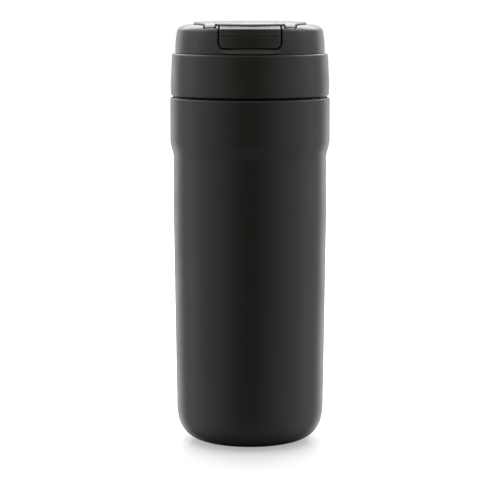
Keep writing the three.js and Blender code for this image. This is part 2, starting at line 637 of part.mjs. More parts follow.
// ---- Latch --------------------------------------------------------------------------------------
function makeLatchButton() {
  const half = BUTTON_X;
  const corner = 2.4;
  const face = new THREE.Shape()
    .moveTo(-half, ABOVE_LID_Z)
    .lineTo(-half, BUTTON_LOW_Z + corner)
    .absarc(-half + corner, BUTTON_LOW_Z + corner, corner, Math.PI, 1.5 * Math.PI)
    .absarc(half - corner, BUTTON_LOW_Z + corner, corner, 1.5 * Math.PI, 2 * Math.PI)
    .lineTo(half, ABOVE_LID_Z);
  const prism = new THREE.ExtrudeGeometry(face, { depth: 12, bevelEnabled: false, curveSegments: 5 });
  prism.rotateX(Math.PI / 2).translate(0, WINDOW_BACK_Y, 0);
  const skin = turnedRing([
    [35.2, BUTTON_LOW_Z - 1],
    [35.0, BUTTON_CREASE_Z],
    [34.5, BUTTON_EDGE_Z - 0.3],
    [34.2, BUTTON_EDGE_Z],
    [33.0, BUTTON_EDGE_Z + 0.25],
    [31.8, BUTTON_TOP_Z - 0.4],
    [30.5, BUTTON_TOP_Z],
    [30.5, BUTTON_TOP_Z - 1.2],
    [33.0, 193.6],
    [33.0, 192.6],
    [31.8, 192.2],
    [31.8, BUTTON_LOW_Z - 1],
  ]);
  const flange = turnedRing([[30.6, 187], [32.0, 187], [32.0, 190.8], [30.6, 190.8]]);
  const flangeSpan = block([-16.2, 16.2], [-BEYOND, 0], [0, BEYOND]);
  const hookX = [-HOOK_X, HOOK_X];
  const armZ = [188.4, 189.4];
  const arm = block(hookX, [-31, HOOK_FRONT_Y + 0.6], armZ);
  const riser = block(hookX, [HOOK_FRONT_Y, HOOK_BACK_Y], [armZ[0], HOOK_TOP_Z]);
  const hook = block(hookX, [HOOK_FRONT_Y - 0.3, HOOK_BACK_Y], [HOOK_TOP_Z - 1, HOOK_TOP_Z]);
  const seatY = [SPRING_FRONT_Y - 1.4, SPRING_FRONT_Y];
  const seats = [-SPRING_X, SPRING_X].map((x) => block(
    [x - SPRING_SEAT_HALF, x + SPRING_SEAT_HALF], seatY, [187.2, 190.8],
  ));
  const coverRoom = upright(new THREE.Shape(coverOutline(BUTTON_TRAVEL + 0.2)), 193, ABOVE_LID_Z);
  return skin.intersect(toSolid(prism)).subtract(coverRoom)
    .add(flange.intersect(flangeSpan)).add(seats[0]).add(seats[1])
    .add(arm).add(riser).add(hook);
}

function makeLatchSpring(x) {
  const wire = 0.25;
  const turns = 3.5;
  const endRoom = wire + 0.15;
  const length = SPRING_WALL_Y - SPRING_FRONT_Y - 2 * endRoom;
  const spring = coil(new Helix(1.6, length / turns, turns), wire, 8, 3);
  spring.rotateX(-Math.PI / 2).translate(x, SPRING_FRONT_Y + endRoom, 189.2);
  return toSolid(spring);
}

// ---- Assembly -----------------------------------------------------------------------------------
const mug = new THREE.Group();

function addPiece(parent, name, finish, solid) {
  const mesh = new THREE.Mesh(toGeometry(solid), new THREE.MeshStandardMaterial(FINISHES[finish]));
  mesh.name = name;
  parent.add(mesh);
}

function addGroup() {
  const group = new THREE.Group();
  mug.add(group);
  return group;
}

const vessel = addGroup();
addPiece(vessel, 'outer_shell', 'powderCoat', makeOuterShell());
addPiece(vessel, 'inner_liner', 'steel', makeInnerLiner());
addPiece(vessel, 'outer_base', 'powderCoat', makeOuterBase());
addPiece(vessel, 'vacuum_seal', 'getter', makeVacuumSeal());
addPiece(vessel, 'getter_pad', 'getter', makeGetterPad());
addPiece(vessel, 'foot_pad', 'rubber', makeFootPad());

const lid = addGroup();
addPiece(lid, 'lid_seal_ring', 'silicone', makeLidSealRing());
addPiece(lid, 'lid_collar', 'blackPlastic', makeLidCollar());
addPiece(lid, 'screw_plug', 'innerPlastic', makeScrewPlug());
addPiece(lid, 'plug_bottom', 'innerPlastic', makePlugBottom());
addPiece(lid, 'drink_channel', 'innerPlastic', makeDrinkChannel());
addPiece(lid, 'drink_well', 'innerPlastic', makeDrinkWell());
addPiece(lid, 'deck_gasket', 'silicone', makeDeckGasket());
addPiece(lid, 'top_housing', 'blackPlastic', makeTopHousing());
addPiece(lid, 'hinge_pin', 'springSteel', makeHingePin());
addPiece(lid, 'cover_spring', 'springSteel', makeCoverSpring());
addPiece(lid, 'latch_spring_left', 'springSteel', makeLatchSpring(-SPRING_X));
addPiece(lid, 'latch_spring_right', 'springSteel', makeLatchSpring(SPRING_X));
addPiece(lid, 'latch_button', 'blackPlastic', makeLatchButton());

const cover = addGroup();
addPiece(cover, 'flip_cover', 'blackPlastic', makeFlipCover());
addPiece(cover, 'cover_underplate', 'innerPlastic', makeCoverUnderplate());
addPiece(cover, 'sip_stopper', 'silicone', makeSipStopper());
addPiece(cover, 'vent_stopper', 'silicone', makeVentStopper());

export default mug;
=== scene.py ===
import json
import math

import bpy
import numpy as np
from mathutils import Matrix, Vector


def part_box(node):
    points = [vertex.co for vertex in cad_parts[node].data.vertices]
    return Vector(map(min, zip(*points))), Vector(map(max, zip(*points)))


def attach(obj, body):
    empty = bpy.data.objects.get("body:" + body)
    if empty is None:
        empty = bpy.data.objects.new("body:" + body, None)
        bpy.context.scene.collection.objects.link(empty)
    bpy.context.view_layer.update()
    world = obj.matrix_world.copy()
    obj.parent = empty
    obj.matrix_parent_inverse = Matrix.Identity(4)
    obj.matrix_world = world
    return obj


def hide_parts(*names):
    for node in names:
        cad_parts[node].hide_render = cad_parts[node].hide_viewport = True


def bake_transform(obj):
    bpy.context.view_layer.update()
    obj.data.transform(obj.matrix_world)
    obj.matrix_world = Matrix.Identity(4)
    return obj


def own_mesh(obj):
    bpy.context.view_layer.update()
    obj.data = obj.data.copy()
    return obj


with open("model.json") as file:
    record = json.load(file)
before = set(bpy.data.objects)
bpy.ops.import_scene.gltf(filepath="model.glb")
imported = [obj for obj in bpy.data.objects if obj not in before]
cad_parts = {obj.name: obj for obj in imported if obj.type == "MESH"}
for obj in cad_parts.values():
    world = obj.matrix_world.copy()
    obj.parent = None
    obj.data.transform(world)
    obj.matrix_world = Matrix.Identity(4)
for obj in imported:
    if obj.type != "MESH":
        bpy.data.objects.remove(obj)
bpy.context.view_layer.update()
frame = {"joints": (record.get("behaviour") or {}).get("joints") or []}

# Lengths are millimetres until a mesh is made.
MM = 0.001


def box_mm(node):
    low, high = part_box(node)
    return np.array(low) / MM, np.array(high) / MM


def low_z(node):
    return float(box_mm(node)[0][2])


def top_z(node):
    return float(box_mm(node)[1][2])


def reach(node):
    return float(box_mm(node)[1][0])


# ---- Sizes shared by several pieces ----
ABOVE_LID_Z = 205.0
LIP_Z = top_z("outer_shell")
NECK_R = reach("outer_shell")
STEP_LOW_Z = LIP_Z - 28.3
STEP_HIGH_Z = LIP_Z - 19.8
BODY_TOP_R = NECK_R - 1.55
SWELL_R = NECK_R - 1.43
SWELL_Z = LIP_Z - 55.8
BODY_LOW_R = NECK_R - 2.75
BASE_CURVE = 19.0
BASE_CURVE_N = 2.79
BASE_SPLIT_R = reach("outer_base") + 0.3
SHELL_WALL = 0.6
LINER_WALL = 0.5

MOUTH_R = 34.2
SEAT_R = 32.9
LINER_R = 32.1
LINER_LOW_R = 31.2
LINER_FLOOR_R = 30.6
THREAD_LEAD = 10.0
THREAD_TURNS = 0.75
THREAD_LOW_Z = LIP_Z - 11.3
LINER_RIDGE = 1.15
PLUG_RIDGE = 1.25
PLUG_R = 32.4

COLLAR_R = reach("lid_collar")
COLLAR_TOP_Z = top_z("lid_collar")
GROOVE_R = COLLAR_R - 0.9
COLLAR_EDGE_Z = low_z("lid_collar") + 0.6
COLLAR_BORE_R = 35.3
HOUSING_R = reach("top_housing")
HOUSING_LOW_Z = COLLAR_TOP_Z + 0.05
HOUSING_WALL = 1.9
SPIGOT_R = 32.9
SPIGOT_BORE_R = 31.4
THUMB_LIP_X = 14.0
THUMB_LIP_FADE_X = 5.0
THUMB_LIP_R = float(-box_mm("top_housing")[0][1])
SHOULDER_R = HOUSING_R - 0.75
SHOULDER_Z = COLLAR_TOP_Z + 9.8
SHOULDER_W = 6.0
SHOULDER_H = 3.5
DECK_Z = SHOULDER_Z + 3.8
TRAY_TOP_Z = DECK_Z - 7.0

COVER_TOP_Z = top_z("flip_cover")
COVER_T = 1.5
COVER_GAP = 0.5
NOTCH_X = 15.6
HINGE = frame["joints"][[j["name"] for j in frame["joints"]].index("cover_flip")]["pos_m"]
HINGE_Y = HINGE[1] / MM
HINGE_Z = HINGE[2] / MM
KNUCKLE_R = 3.1
KNUCKLE_IN_X = 9.0
KNUCKLE_OUT_X = 16.5
BAY_X = KNUCKLE_OUT_X + 0.5
PIN_R = 1.0
PIN_BORE_R = PIN_R + 0.3
SPRING_HALF = 7.5
BUTTON_LOW_Z = low_z("latch_button")
BUTTON_TOP_Z = top_z("latch_button")
BUTTON_X = 13.8
BUTTON_CREASE_Z = BUTTON_LOW_Z + 5.4
BUTTON_EDGE_Z = BUTTON_LOW_Z + 9.2
BUTTON_ROOM = 1.2
BUTTON_FLANGE_X = 16.2
HOOK_X = 4.4
HOOK_BACK_Y = -24.9
CATCH_X = 5.0
CATCH_FRONT_Y = -28.4
SIP_HALF = (8.0, 4.8)
SIP_Y = float(sum(box_mm("sip_stopper"))[1] / 2)
VENT_Y = float(sum(box_mm("vent_stopper"))[1] / 2)


# ---- Outlines ----
def spaced(low, high, count):
    return np.linspace(low, high, count + 1)


def rounded(corners, steps=5):
    """Outline points from corners (u, v, fillet), each corner replaced by a short curve."""
    points = []
    spots = np.array([corner[:2] for corner in corners], float)
    for i, (u, v, fillet) in enumerate(corners):
        here = np.array([u, v], float)
        if fillet <= 0:
            points.append(here)
            continue
        back = spots[i - 1] - here
        on = spots[(i + 1) % len(spots)] - here
        reach_back = min(fillet, np.linalg.norm(back) * 0.48)
        reach_on = min(fillet, np.linalg.norm(on) * 0.48)
        start = here + back / np.linalg.norm(back) * reach_back
        end = here + on / np.linalg.norm(on) * reach_on
        for t in np.linspace(0, 1, steps + 1):
            points.append((1 - t) ** 2 * start + 2 * t * (1 - t) * here + t * t * end)
    return [tuple(point) for point in points]


def through(points, per_span=6):
    """Catmull-Rom curve through points."""
    points = np.array(points, float)
    padded = np.vstack([2 * points[0] - points[1], points, 2 * points[-1] - points[-2]])
    curve = []
    for a, b, c, d in zip(padded, padded[1:], padded[2:], padded[3:]):
        for t in np.arange(per_span) / per_span:
            curve.append(0.5 * (2 * b + (c - a) * t + (2 * a - 5 * b + 4 * c - d) * t**2
                                + (3 * b - a - 3 * c + d) * t**3))
    return np.array(curve + [points[-1]])


# ---- Meshes ----
def signed_volume(points, faces):
    total = 0.0
    for face in faces:
        a = points[face[0]]
        for b, c in zip(face[1:], face[2:]):
            total += np.dot(a, np.cross(points[b], points[c]))
    return total / 6


def add_piece(name, points, faces, body, slot, material, *nodes):
    """A smooth mesh piece, riding on its body, if it has one, and standing for its CAD nodes."""
    mesh = bpy.data.meshes.new(name)
    mesh.from_pydata((np.asarray(points) * MM).tolist(), [], [list(face) for face in faces])
    mesh.validate()
    mesh.shade_smooth()
    obj = bpy.data.objects.new(name, mesh)
    bpy.context.scene.collection.objects.link(obj)
    mesh.materials.append(material)
    obj.modifiers.new("even_shading", "WEIGHTED_NORMAL")
    if body:
        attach(obj, body)
    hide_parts(*nodes)
    return obj


def turned(outline, sides=160, closed=False, warp=None, stretch=(0, 0), centre=(0, 0)):
    """Points and faces of an outline of (radius, z) turned about Z.

    warp(radius, angle, z) may move points; stretch makes the turn an ellipse whose half axes are
    stretch plus the radius."""
    outline = np.array(outline, float)
    angle = np.arange(sides) * 2 * math.pi / sides
    radius = np.repeat(outline[:, :1], sides, axis=1)
    z = np.repeat(outline[:, 1:], sides, axis=1)
    if warp:
        radius, z = warp(radius, angle[None, :], z)
    x = centre[0] + (stretch[0] + radius) * np.cos(angle)
    y = centre[1] + (stretch[1] + radius) * np.sin(angle)
    points = np.stack([x, y, z], axis=-1).reshape(-1, 3)
    rows = len(outline)
    on_axis = (outline[:, 0] <= 0) & (stretch[0] == 0)

    def corner(row, side):
        return row * sides + (0 if on_axis[row] else side % sides)

    faces = []
    for row in range(rows if closed else rows - 1):
        after = (row + 1) % rows
        for side in range(sides):
            ring = [corner(row, side), corner(row, side + 1), corner(after, side + 1), corner(after, side)]
            face = [vertex for k, vertex in enumerate(ring) if vertex != ring[k - 1]]
            if len(face) > 2:
                faces.append(face)
    used = np.unique(np.concatenate([np.array(face) for face in faces]))
    place = np.zeros(len(points), int)
    place[used] = np.arange(len(used))
    points = points[used]
    faces = [[int(place[vertex]) for vertex in face] for face in faces]
    if signed_volume(points, faces[:: max(1, len(faces) // 4000)]) < 0 and signed_volume(points, faces) < 0:
        faces = [face[::-1] for face in faces]
    return points, faces


def wire(path, radius, sides=10):
    """Points and faces of a round wire along a path, with closed ends."""
    path = np.array(path, float)
    tangent = np.gradient(path, axis=0)
    tangent /= np.linalg.norm(tangent, axis=1)[:, None]
    normal = np.cross(tangent[0], [0.3, 0.5, 0.8])
    normal /= np.linalg.norm(normal)
    points = []
    for spot, along in zip(path, tangent):
        normal = normal - along * np.dot(normal, along)
        normal /= np.linalg.norm(normal)
        other = np.cross(along, normal)
        for angle in np.arange(sides) * 2 * math.pi / sides:
            points.append(spot + radius * (math.cos(angle) * normal + math.sin(angle) * other))
    faces = []
    for row in range(len(path) - 1):
        for side in range(sides):
            after = (side + 1) % sides
            faces.append([row * sides + side, row * sides + after,
                          (row + 1) * sides + after, (row + 1) * sides + side])
    faces.append(list(range(sides))[::-1])
    faces.append([(len(path) - 1) * sides + side for side in range(sides)])
    return np.array(points), faces


# ---- Solids given by a signed distance, negative inside ----
def outline_distance(u, v, corners):
    best = np.inf
    inside = False
    for (u0, v0), (u1, v1) in zip(corners, list(corners[1:]) + [corners[0]]):
        du, dv = u1 - u0, v1 - v0
        t = np.clip(((u - u0) * du + (v - v0) * dv) / max(du * du + dv * dv, 1e-12), 0, 1)
        best = np.minimum(best, (u - u0 - t * du) ** 2 + (v - v0 - t * dv) ** 2)
        if dv:
            inside ^= ((v0 > v) != (v1 > v)) & (u < u0 + (v - v0) * du / dv)
    return np.where(inside, -1.0, 1.0) * np.sqrt(best)


def round_max(a, b, soft):
    """The larger of two distances, with their crossing rounded over a length of about soft."""
    blend = np.maximum(soft - np.abs(a - b), 0) / soft
    return np.maximum(a, b) + blend * blend * soft / 4


def joined(a, b, soft=0.3):
    return -round_max(-a, -b, soft)


def cut(a, b, soft=0.3):
    return round_max(a, -b, soft)


def both(a, b, soft=0.3):
    return round_max(a, b, soft)


def block(x, y, z, spans, corner=0.2):
    gaps = []
    for value, (low, high) in zip((x, y, z), spans):
        gaps.append(np.abs(value - (low + high) / 2) - (high - low) / 2 + corner)
    outside = np.sqrt(sum(np.maximum(gap, 0) ** 2 for gap in gaps))
    return outside + np.minimum(np.maximum(np.maximum(gaps[0], gaps[1]), gaps[2]), 0) - corner


def between(value, low, high):
    return np.abs(value - (low + high) / 2) - (high - low) / 2


def oval(x, y, half_x, half_y, centre_y):
    """Rough distance to an upright oval column."""
    u, v = x / half_x, (y - centre_y) / half_y
    length = np.sqrt(u * u + v * v) + 1e-9
    slope = np.sqrt((u / half_x) ** 2 + (v / half_y) ** 2) + 1e-9
    return length * (length - 1) / slope


def hinge_bar(x, y, z, radius, from_x, to_x, soft=0.2):
    away = np.sqrt((y - HINGE_Y) ** 2 + (z - HINGE_Z) ** 2) - radius
    return both(away, between(x, from_x, to_x), soft)


def surface_of(field, low, high, step):
    """Closed quad mesh of the surface where field is 0, by one vertex per crossed cell.

    The grid has a plane on each low face of the box. A thin ledge that ends on a plane is there or not by
    rounding alone, so the heights in the fields below are plain numbers, not sums on the box.
    """
    axes = [np.arange(a - 2 * step, b + 3 * step, step) for a, b in zip(low, high)]
    grid = np.meshgrid(*axes, indexing="ij", sparse=True)
    value = np.broadcast_to(field(*grid), [len(axis) for axis in axes]).astype(np.float32)
    solid = value < 0
    cell_shape = [n - 1 for n in value.shape]
    corners = np.array([[i, j, k] for i in (0, 1) for j in (0, 1) for k in (0, 1)])
    count = np.zeros(cell_shape, np.int8)
    for i, j, k in corners:
        count += solid[i:i + cell_shape[0], j:j + cell_shape[1], k:k + cell_shape[2]]
    cells = np.argwhere((count > 0) & (count < 8))
    number = np.full(cell_shape, -1, np.int64)
    number[tuple(cells.T)] = np.arange(len(cells))
    spots = (cells[:, None, :] + corners[None]).transpose(2, 0, 1)
    at_corner = value[tuple(spots)]
    total = np.zeros((len(cells), 3))
    crossings = np.zeros(len(cells))
    for a in range(8):
        for b in range(a + 1, 8):
            if np.abs(corners[a] - corners[b]).sum() != 1:
                continue
            start, end = at_corner[:, a], at_corner[:, b]
            crossed = (start < 0) != (end < 0)
            t = np.where(crossed, start / np.where(crossed, start - end, 1), 0)
            total += crossed[:, None] * (corners[a] + t[:, None] * (corners[b] - corners[a]))
            crossings += crossed
    origin = np.array([axis[0] for axis in axes])
    points = origin + (cells + total / crossings[:, None]) * step
    faces = []
    for axis in range(3):
        u, v = (axis + 1) % 3, (axis + 2) % 3
        before = np.take(solid, range(value.shape[axis] - 1), axis)
        after = np.take(solid, range(1, value.shape[axis]), axis)
        edge = np.argwhere(before != after)
        leaving = before[tuple(edge.T)]
        unit_u, unit_v = np.eye(3, dtype=int)[u], np.eye(3, dtype=int)[v]
        ring = [number[tuple((edge - shift).T)] for shift in (0 * unit_u, unit_u, unit_u + unit_v, unit_v)]
        quads = np.stack(ring, axis=1)
        quads[~leaving] = quads[~leaving][:, ::-1]
        faces.append(quads)
    quads = np.vstack(faces)
    for _ in range(2):
        points = drawn_to(field, evened(points, quads), step)
    return drawn_to(field, points, step), quads.tolist()


def evened(points, quads):
    """Points moved halfway to the middle of their neighbours, so that no quad is a sliver."""
    start, end = quads.ravel(), np.roll(quads, -1, axis=1).ravel()
    count = len(points)
    shared = np.bincount(start, minlength=count) + np.bincount(end, minlength=count)
    total = np.stack([
        np.bincount(start, points[end, axis], count) + np.bincount(end, points[start, axis], count)
        for axis in range(3)
    ], axis=1)
    return (points + total / shared[:, None]) / 2


def drawn_to(field, points, step):
    """Points moved a little way onto the surface of the field."""
    nudge = step * 0.1
    here = field(*points.T)
    slope = np.stack([
        (field(*(points + nudge * unit).T) - field(*(points - nudge * unit).T)) / (2 * nudge)
        for unit in np.eye(3)
    ], axis=1)
    steepness = np.maximum((slope**2).sum(axis=1), 0.05)
    move = -(here / steepness)[:, None] * slope
    length = np.linalg.norm(move, axis=1, keepdims=True)
    return points + move * np.minimum(1, 0.5 * step / np.maximum(length, 1e-9))


# ---- Materials ----
class Nodes:
    """Short calls for building a material's node tree."""

    def __init__(self, tree):
        self.tree = tree

    def add(self, kind, settings=None, **inputs):
        node = self.tree.nodes.new(kind)
        for key, value in (settings or {}).items():
            setattr(node, key, value)
        for key, value in inputs.items():
            self.feed(node, key.replace("_", " "), value)
        return node

    def feed(self, node, key, value):
        socket = node.inputs[int(key)] if key.isdigit() else node.inputs[key]
        if isinstance(value, bpy.types.NodeSocket):
            self.tree.links.new(value, socket)
        else:
            socket.default_value = value

    def place(self, scale=(1, 1, 1)):
        coords = self.add("ShaderNodeTexCoord")
        return self.add("ShaderNodeMapping", None, Vector=coords.outputs["Object"], Scale=scale).outputs[0]

    def noise(self, scale, detail=2.0, rough=0.5, where=None):
        where = where or self.place()
        node = self.add("ShaderNodeTexNoise", None, Vector=where, Scale=scale, Detail=detail, Roughness=rough)
        return node.outputs["Fac"]

    def ranged(self, value, low, high, from_low=0.3, from_high=0.7):
        node = self.add("ShaderNodeMapRange", None, Value=value)
        limits = {"From Min": from_low, "From Max": from_high, "To Min": low, "To Max": high}
        for key, number in limits.items():
            node.inputs[key].default_value = number
        return node.outputs[0]

    def mixed(self, factor, first, second):
        node = self.add("ShaderNodeMix", {"data_type": "RGBA"})
        for key, value in (("0", factor), ("6", first), ("7", second)):
            self.feed(node, key, value)
        return node.outputs[2]

    def bump(self, height, distance, strength=1.0, after=None):
        node = self.add("ShaderNodeBump", None, Height=height, Distance=distance, Strength=strength)
        if after:
            self.feed(node, "Normal", after)
        return node.outputs[0]

    def edges(self, low=0.52, high=0.6):
        """1 on convex edges, 0 elsewhere."""
        shape = self.add("ShaderNodeNewGeometry")
        return self.ranged(shape.outputs["Pointiness"], 0.0, 1.0, low, high)


def grey(value, warm=0.0):
    return (value * (1 + 0.3 * warm), value, value * (1 - 3 * warm), 1)


def new_material(name):
    material = bpy.data.materials.new(name)
    material.use_nodes = True
    tree = material.node_tree
    shader = tree.nodes["Principled BSDF"]
    return material, Nodes(tree), shader


def powder_coat():
    """Matte black baked coat: fine orange peel, a sparse sparkle of coarser grains, slight sheen changes."""
    material, nodes, shader = new_material("powder_coat")
    grain = nodes.noise(4200, 3, 0.6)
    peel = nodes.noise(900, 2, 0.5)
    cloud = nodes.noise(22, 3, 0.55)
    tone = nodes.mixed(nodes.ranged(cloud, 0, 1), grey(0.0105, 0.1), grey(0.0135, 0.1))
    speck = nodes.ranged(nodes.noise(5200, 1, 0.4), 0, 0.5, 0.66, 0.8)
    tone = nodes.mixed(speck, tone, grey(0.03, 0.02))
    tone = nodes.mixed(nodes.edges(), tone, grey(0.02, 0.02))
    nodes.feed(shader, "Base Color", tone)
    nodes.feed(shader, "Roughness", nodes.ranged(nodes.noise(60, 4, 0.6), 0.36, 0.43))
    nodes.feed(shader, "Specular IOR Level", 0.5)
    fine = nodes.bump(grain, 0.00002, 0.35)
    nodes.feed(shader, "Normal", nodes.bump(peel, 0.00004, 0.3, fine))
    return material


def lid_plastic(name, tone_value, rough_low, rough_high):
    """Moulded polypropylene with a fine spark-eroded texture, and painted shade, near black with little shine, in
    the collar's groove.
    """
    material, nodes, shader = new_material(name)
    spark = nodes.noise(3200, 2, 0.7)
    cells = nodes.add("ShaderNodeTexVoronoi", None, Vector=nodes.place(), Scale=2600.0).outputs["Distance"]
    flow = nodes.noise(14, 2, 0.5, nodes.place((1, 1, 3)))
    tone = nodes.mixed(nodes.ranged(flow, 0, 1), grey(tone_value, 0.12), grey(tone_value * 1.3, 0.12))
    tone = nodes.mixed(nodes.edges(0.53, 0.62), tone, grey(tone_value * 2.1, 0.02))
    # Painted shade: near-black colour with little shine on the points a piece marks, the collar's groove.
    painted_groove_shade = nodes.add("ShaderNodeAttribute", {"attribute_name": "painted_groove_shade"}).outputs["Fac"]
    nodes.feed(shader, "Base Color", nodes.mixed(painted_groove_shade, tone, grey(0.003)))
    nodes.feed(shader, "Specular IOR Level", nodes.ranged(painted_groove_shade, 0.5, 0.06, 0, 1))
    nodes.feed(shader, "Roughness", nodes.ranged(nodes.noise(90, 4, 0.6), rough_low, rough_high))
    fine = nodes.bump(spark, 0.00002, 0.3)
    nodes.feed(shader, "Normal", nodes.bump(cells, 0.00001, 0.25, fine))
    return material


def turned_steel():
    """Electropolished stainless steel with fine lines from turning and spinning."""
    material, nodes, shader = new_material("liner_steel")
    lines = nodes.noise(120, 6, 0.75, nodes.place((0.05, 0.05, 12)))
    smear = nodes.noise(30, 3, 0.5)
    tone = nodes.mixed(nodes.ranged(smear, 0, 1), grey(0.56, 0.01), grey(0.66, 0.01))
    tone = nodes.mixed(nodes.ranged(lines, 0, 0.35), tone, grey(0.42, 0.01))
    nodes.feed(shader, "Base Color", tone)
    nodes.feed(shader, "Metallic", 1.0)
    nodes.feed(shader, "Roughness", nodes.ranged(lines, 0.2, 0.34))
    nodes.feed(shader, "Normal", nodes.bump(lines, 0.00003, 0.35))
    return material


def dull_metal():
    material, nodes, shader = new_material("getter_metal")
    pits = nodes.noise(1500, 4, 0.7)
    nodes.feed(shader, "Base Color", nodes.mixed(pits, grey(0.2), grey(0.36, 0.02)))
    nodes.feed(shader, "Metallic", 0.9)
    nodes.feed(shader, "Roughness", nodes.ranged(pits, 0.45, 0.65))
    nodes.feed(shader, "Normal", nodes.bump(pits, 0.0001, 0.5))
    return material


def wire_steel():
    material, nodes, shader = new_material("spring_steel")
    drawn = nodes.noise(900, 4, 0.6, nodes.place((1, 0.3, 1)))
    nodes.feed(shader, "Base Color", nodes.mixed(drawn, grey(0.4), grey(0.58, 0.01)))
    nodes.feed(shader, "Metallic", 1.0)
    nodes.feed(shader, "Roughness", nodes.ranged(drawn, 0.18, 0.32))
    nodes.feed(shader, "Normal", nodes.bump(drawn, 0.00002, 0.3))
    return material


def silicone():
    """Satin grey silicone with a little light going in and a film of dust."""
    material, nodes, shader = new_material("silicone")
    dust = nodes.ranged(nodes.noise(2400, 3, 0.7), 0, 0.4, 0.58, 0.75)
    tone = nodes.mixed(nodes.noise(60, 3, 0.5), grey(0.22, 0.01), grey(0.29, 0.01))
    nodes.feed(shader, "Base Color", nodes.mixed(dust, tone, grey(0.4)))
    nodes.feed(shader, "Subsurface Weight", 0.15)
    nodes.feed(shader, "Subsurface Scale", 0.001)
    nodes.feed(shader, "Roughness", nodes.ranged(nodes.noise(300, 3, 0.5), 0.42, 0.58))
    nodes.feed(shader, "Normal", nodes.bump(nodes.noise(1800, 2, 0.5), 0.00003, 0.3))
    return material


def foot_rubber():
    material, nodes, shader = new_material("foot_rubber")
    grit = nodes.noise(2500, 3, 0.7)
    scuff = nodes.ranged(nodes.noise(140, 5, 0.7), 0, 0.5, 0.52, 0.75)
    nodes.feed(shader, "Base Color", nodes.mixed(scuff, grey(0.011), grey(0.035, 0.03)))
    nodes.feed(shader, "Roughness", nodes.ranged(grit, 0.7, 0.85))
    nodes.feed(shader, "Normal", nodes.bump(grit, 0.00006, 0.5))
    return material


COAT = powder_coat()
PLASTIC = lid_plastic("lid_plastic", 0.0115, 0.36, 0.44)
INNER = lid_plastic("inner_plastic", 0.02, 0.42, 0.52)
STEEL = turned_steel()
GETTER = dull_metal()
WIRE = wire_steel()
SILICONE = silicone()
RUBBER = foot_rubber()


# ---- Vessel ----
def base_curve(from_radius, count=22):
    """The rounded base corner as a super-ellipse, from a radius on the base to the wall."""
    inner = BODY_LOW_R - BASE_CURVE
    power = 2 / BASE_CURVE_N
    start = math.asin(((from_radius - inner) / BASE_CURVE) ** (1 / power))
    turn = spaced(start, math.pi / 2, count)
    radius = inner + BASE_CURVE * np.sin(turn) ** power
    return list(zip(radius, BASE_CURVE * (1 - np.maximum(np.cos(turn), 0) ** power)))


def base_curve_z(radius):
    across = (radius - BODY_LOW_R + BASE_CURVE) / BASE_CURVE
    return BASE_CURVE * (1 - (1 - across**BASE_CURVE_N) ** (1 / BASE_CURVE_N))


def wall_radius(z):
    if z <= SWELL_Z:
        return BODY_LOW_R + (SWELL_R - BODY_LOW_R) * (z - BASE_CURVE) / (SWELL_Z - BASE_CURVE)
    if z <= STEP_LOW_Z:
        t = (z - SWELL_Z) / (STEP_LOW_Z - SWELL_Z)
        return SWELL_R + (BODY_TOP_R - SWELL_R) * t * t * (3 - 2 * t)
    t = min((z - STEP_LOW_Z) / (STEP_HIGH_Z - STEP_LOW_Z), 1)
    return BODY_TOP_R + (NECK_R - BODY_TOP_R) * t * t * (3 - 2 * t)


def outer_shell():
    heights = [*spaced(BASE_CURVE, STEP_LOW_Z, 24)[1:], *spaced(STEP_LOW_Z, STEP_HIGH_Z, 14)[1:]]
    outside = base_curve(BASE_SPLIT_R) + [(wall_radius(z), z) for z in heights]
    lip = rounded([
        (NECK_R, LIP_Z - 12, 0),
        (NECK_R, LIP_Z - 0.25, 1.0),
        (NECK_R - 0.95, LIP_Z, 0.6),
        (NECK_R - 1.6, LIP_Z - 0.15, 0.3),
        (NECK_R - 1.6, LIP_Z - 1.4, 0.2),
        (NECK_R - SHELL_WALL, LIP_Z - 2.6, 0.4),
        (NECK_R - SHELL_WALL, LIP_Z - 18, 0),
    ])
    inside = [(wall_radius(z) - SHELL_WALL, z) for z in reversed(heights)]
    low_curve = reversed(base_curve(BASE_SPLIT_R + 0.5))
    inside += [(r - SHELL_WALL * 0.8, z + SHELL_WALL * 0.6) for r, z in low_curve]
    points, faces = turned(outside + lip[1:-1] + inside, 192, closed=True)
    add_piece("outer_shell_coated", points, faces, "vessel", "powder_coat", COAT, "outer_shell")


def thread(angle, z, phase, half_width):
    """Height, 0 to 1, of a two-start thread's rounded ridges."""
    height = 0
    for start in (0, math.pi):
        turns = ((angle - phase - start) / (2 * math.pi)) % 1
        run = np.clip(np.minimum(turns, THREAD_TURNS - turns) / 0.035, 0, 1)
        away = np.abs(z - THREAD_LOW_Z - THREAD_LEAD * turns) / half_width
        ridge = np.where(away < 1, 0.5 + 0.5 * np.cos(math.pi * np.minimum(away, 1)), 0)
        height = np.maximum(height, ridge * run * run * (3 - 2 * run))
    return height


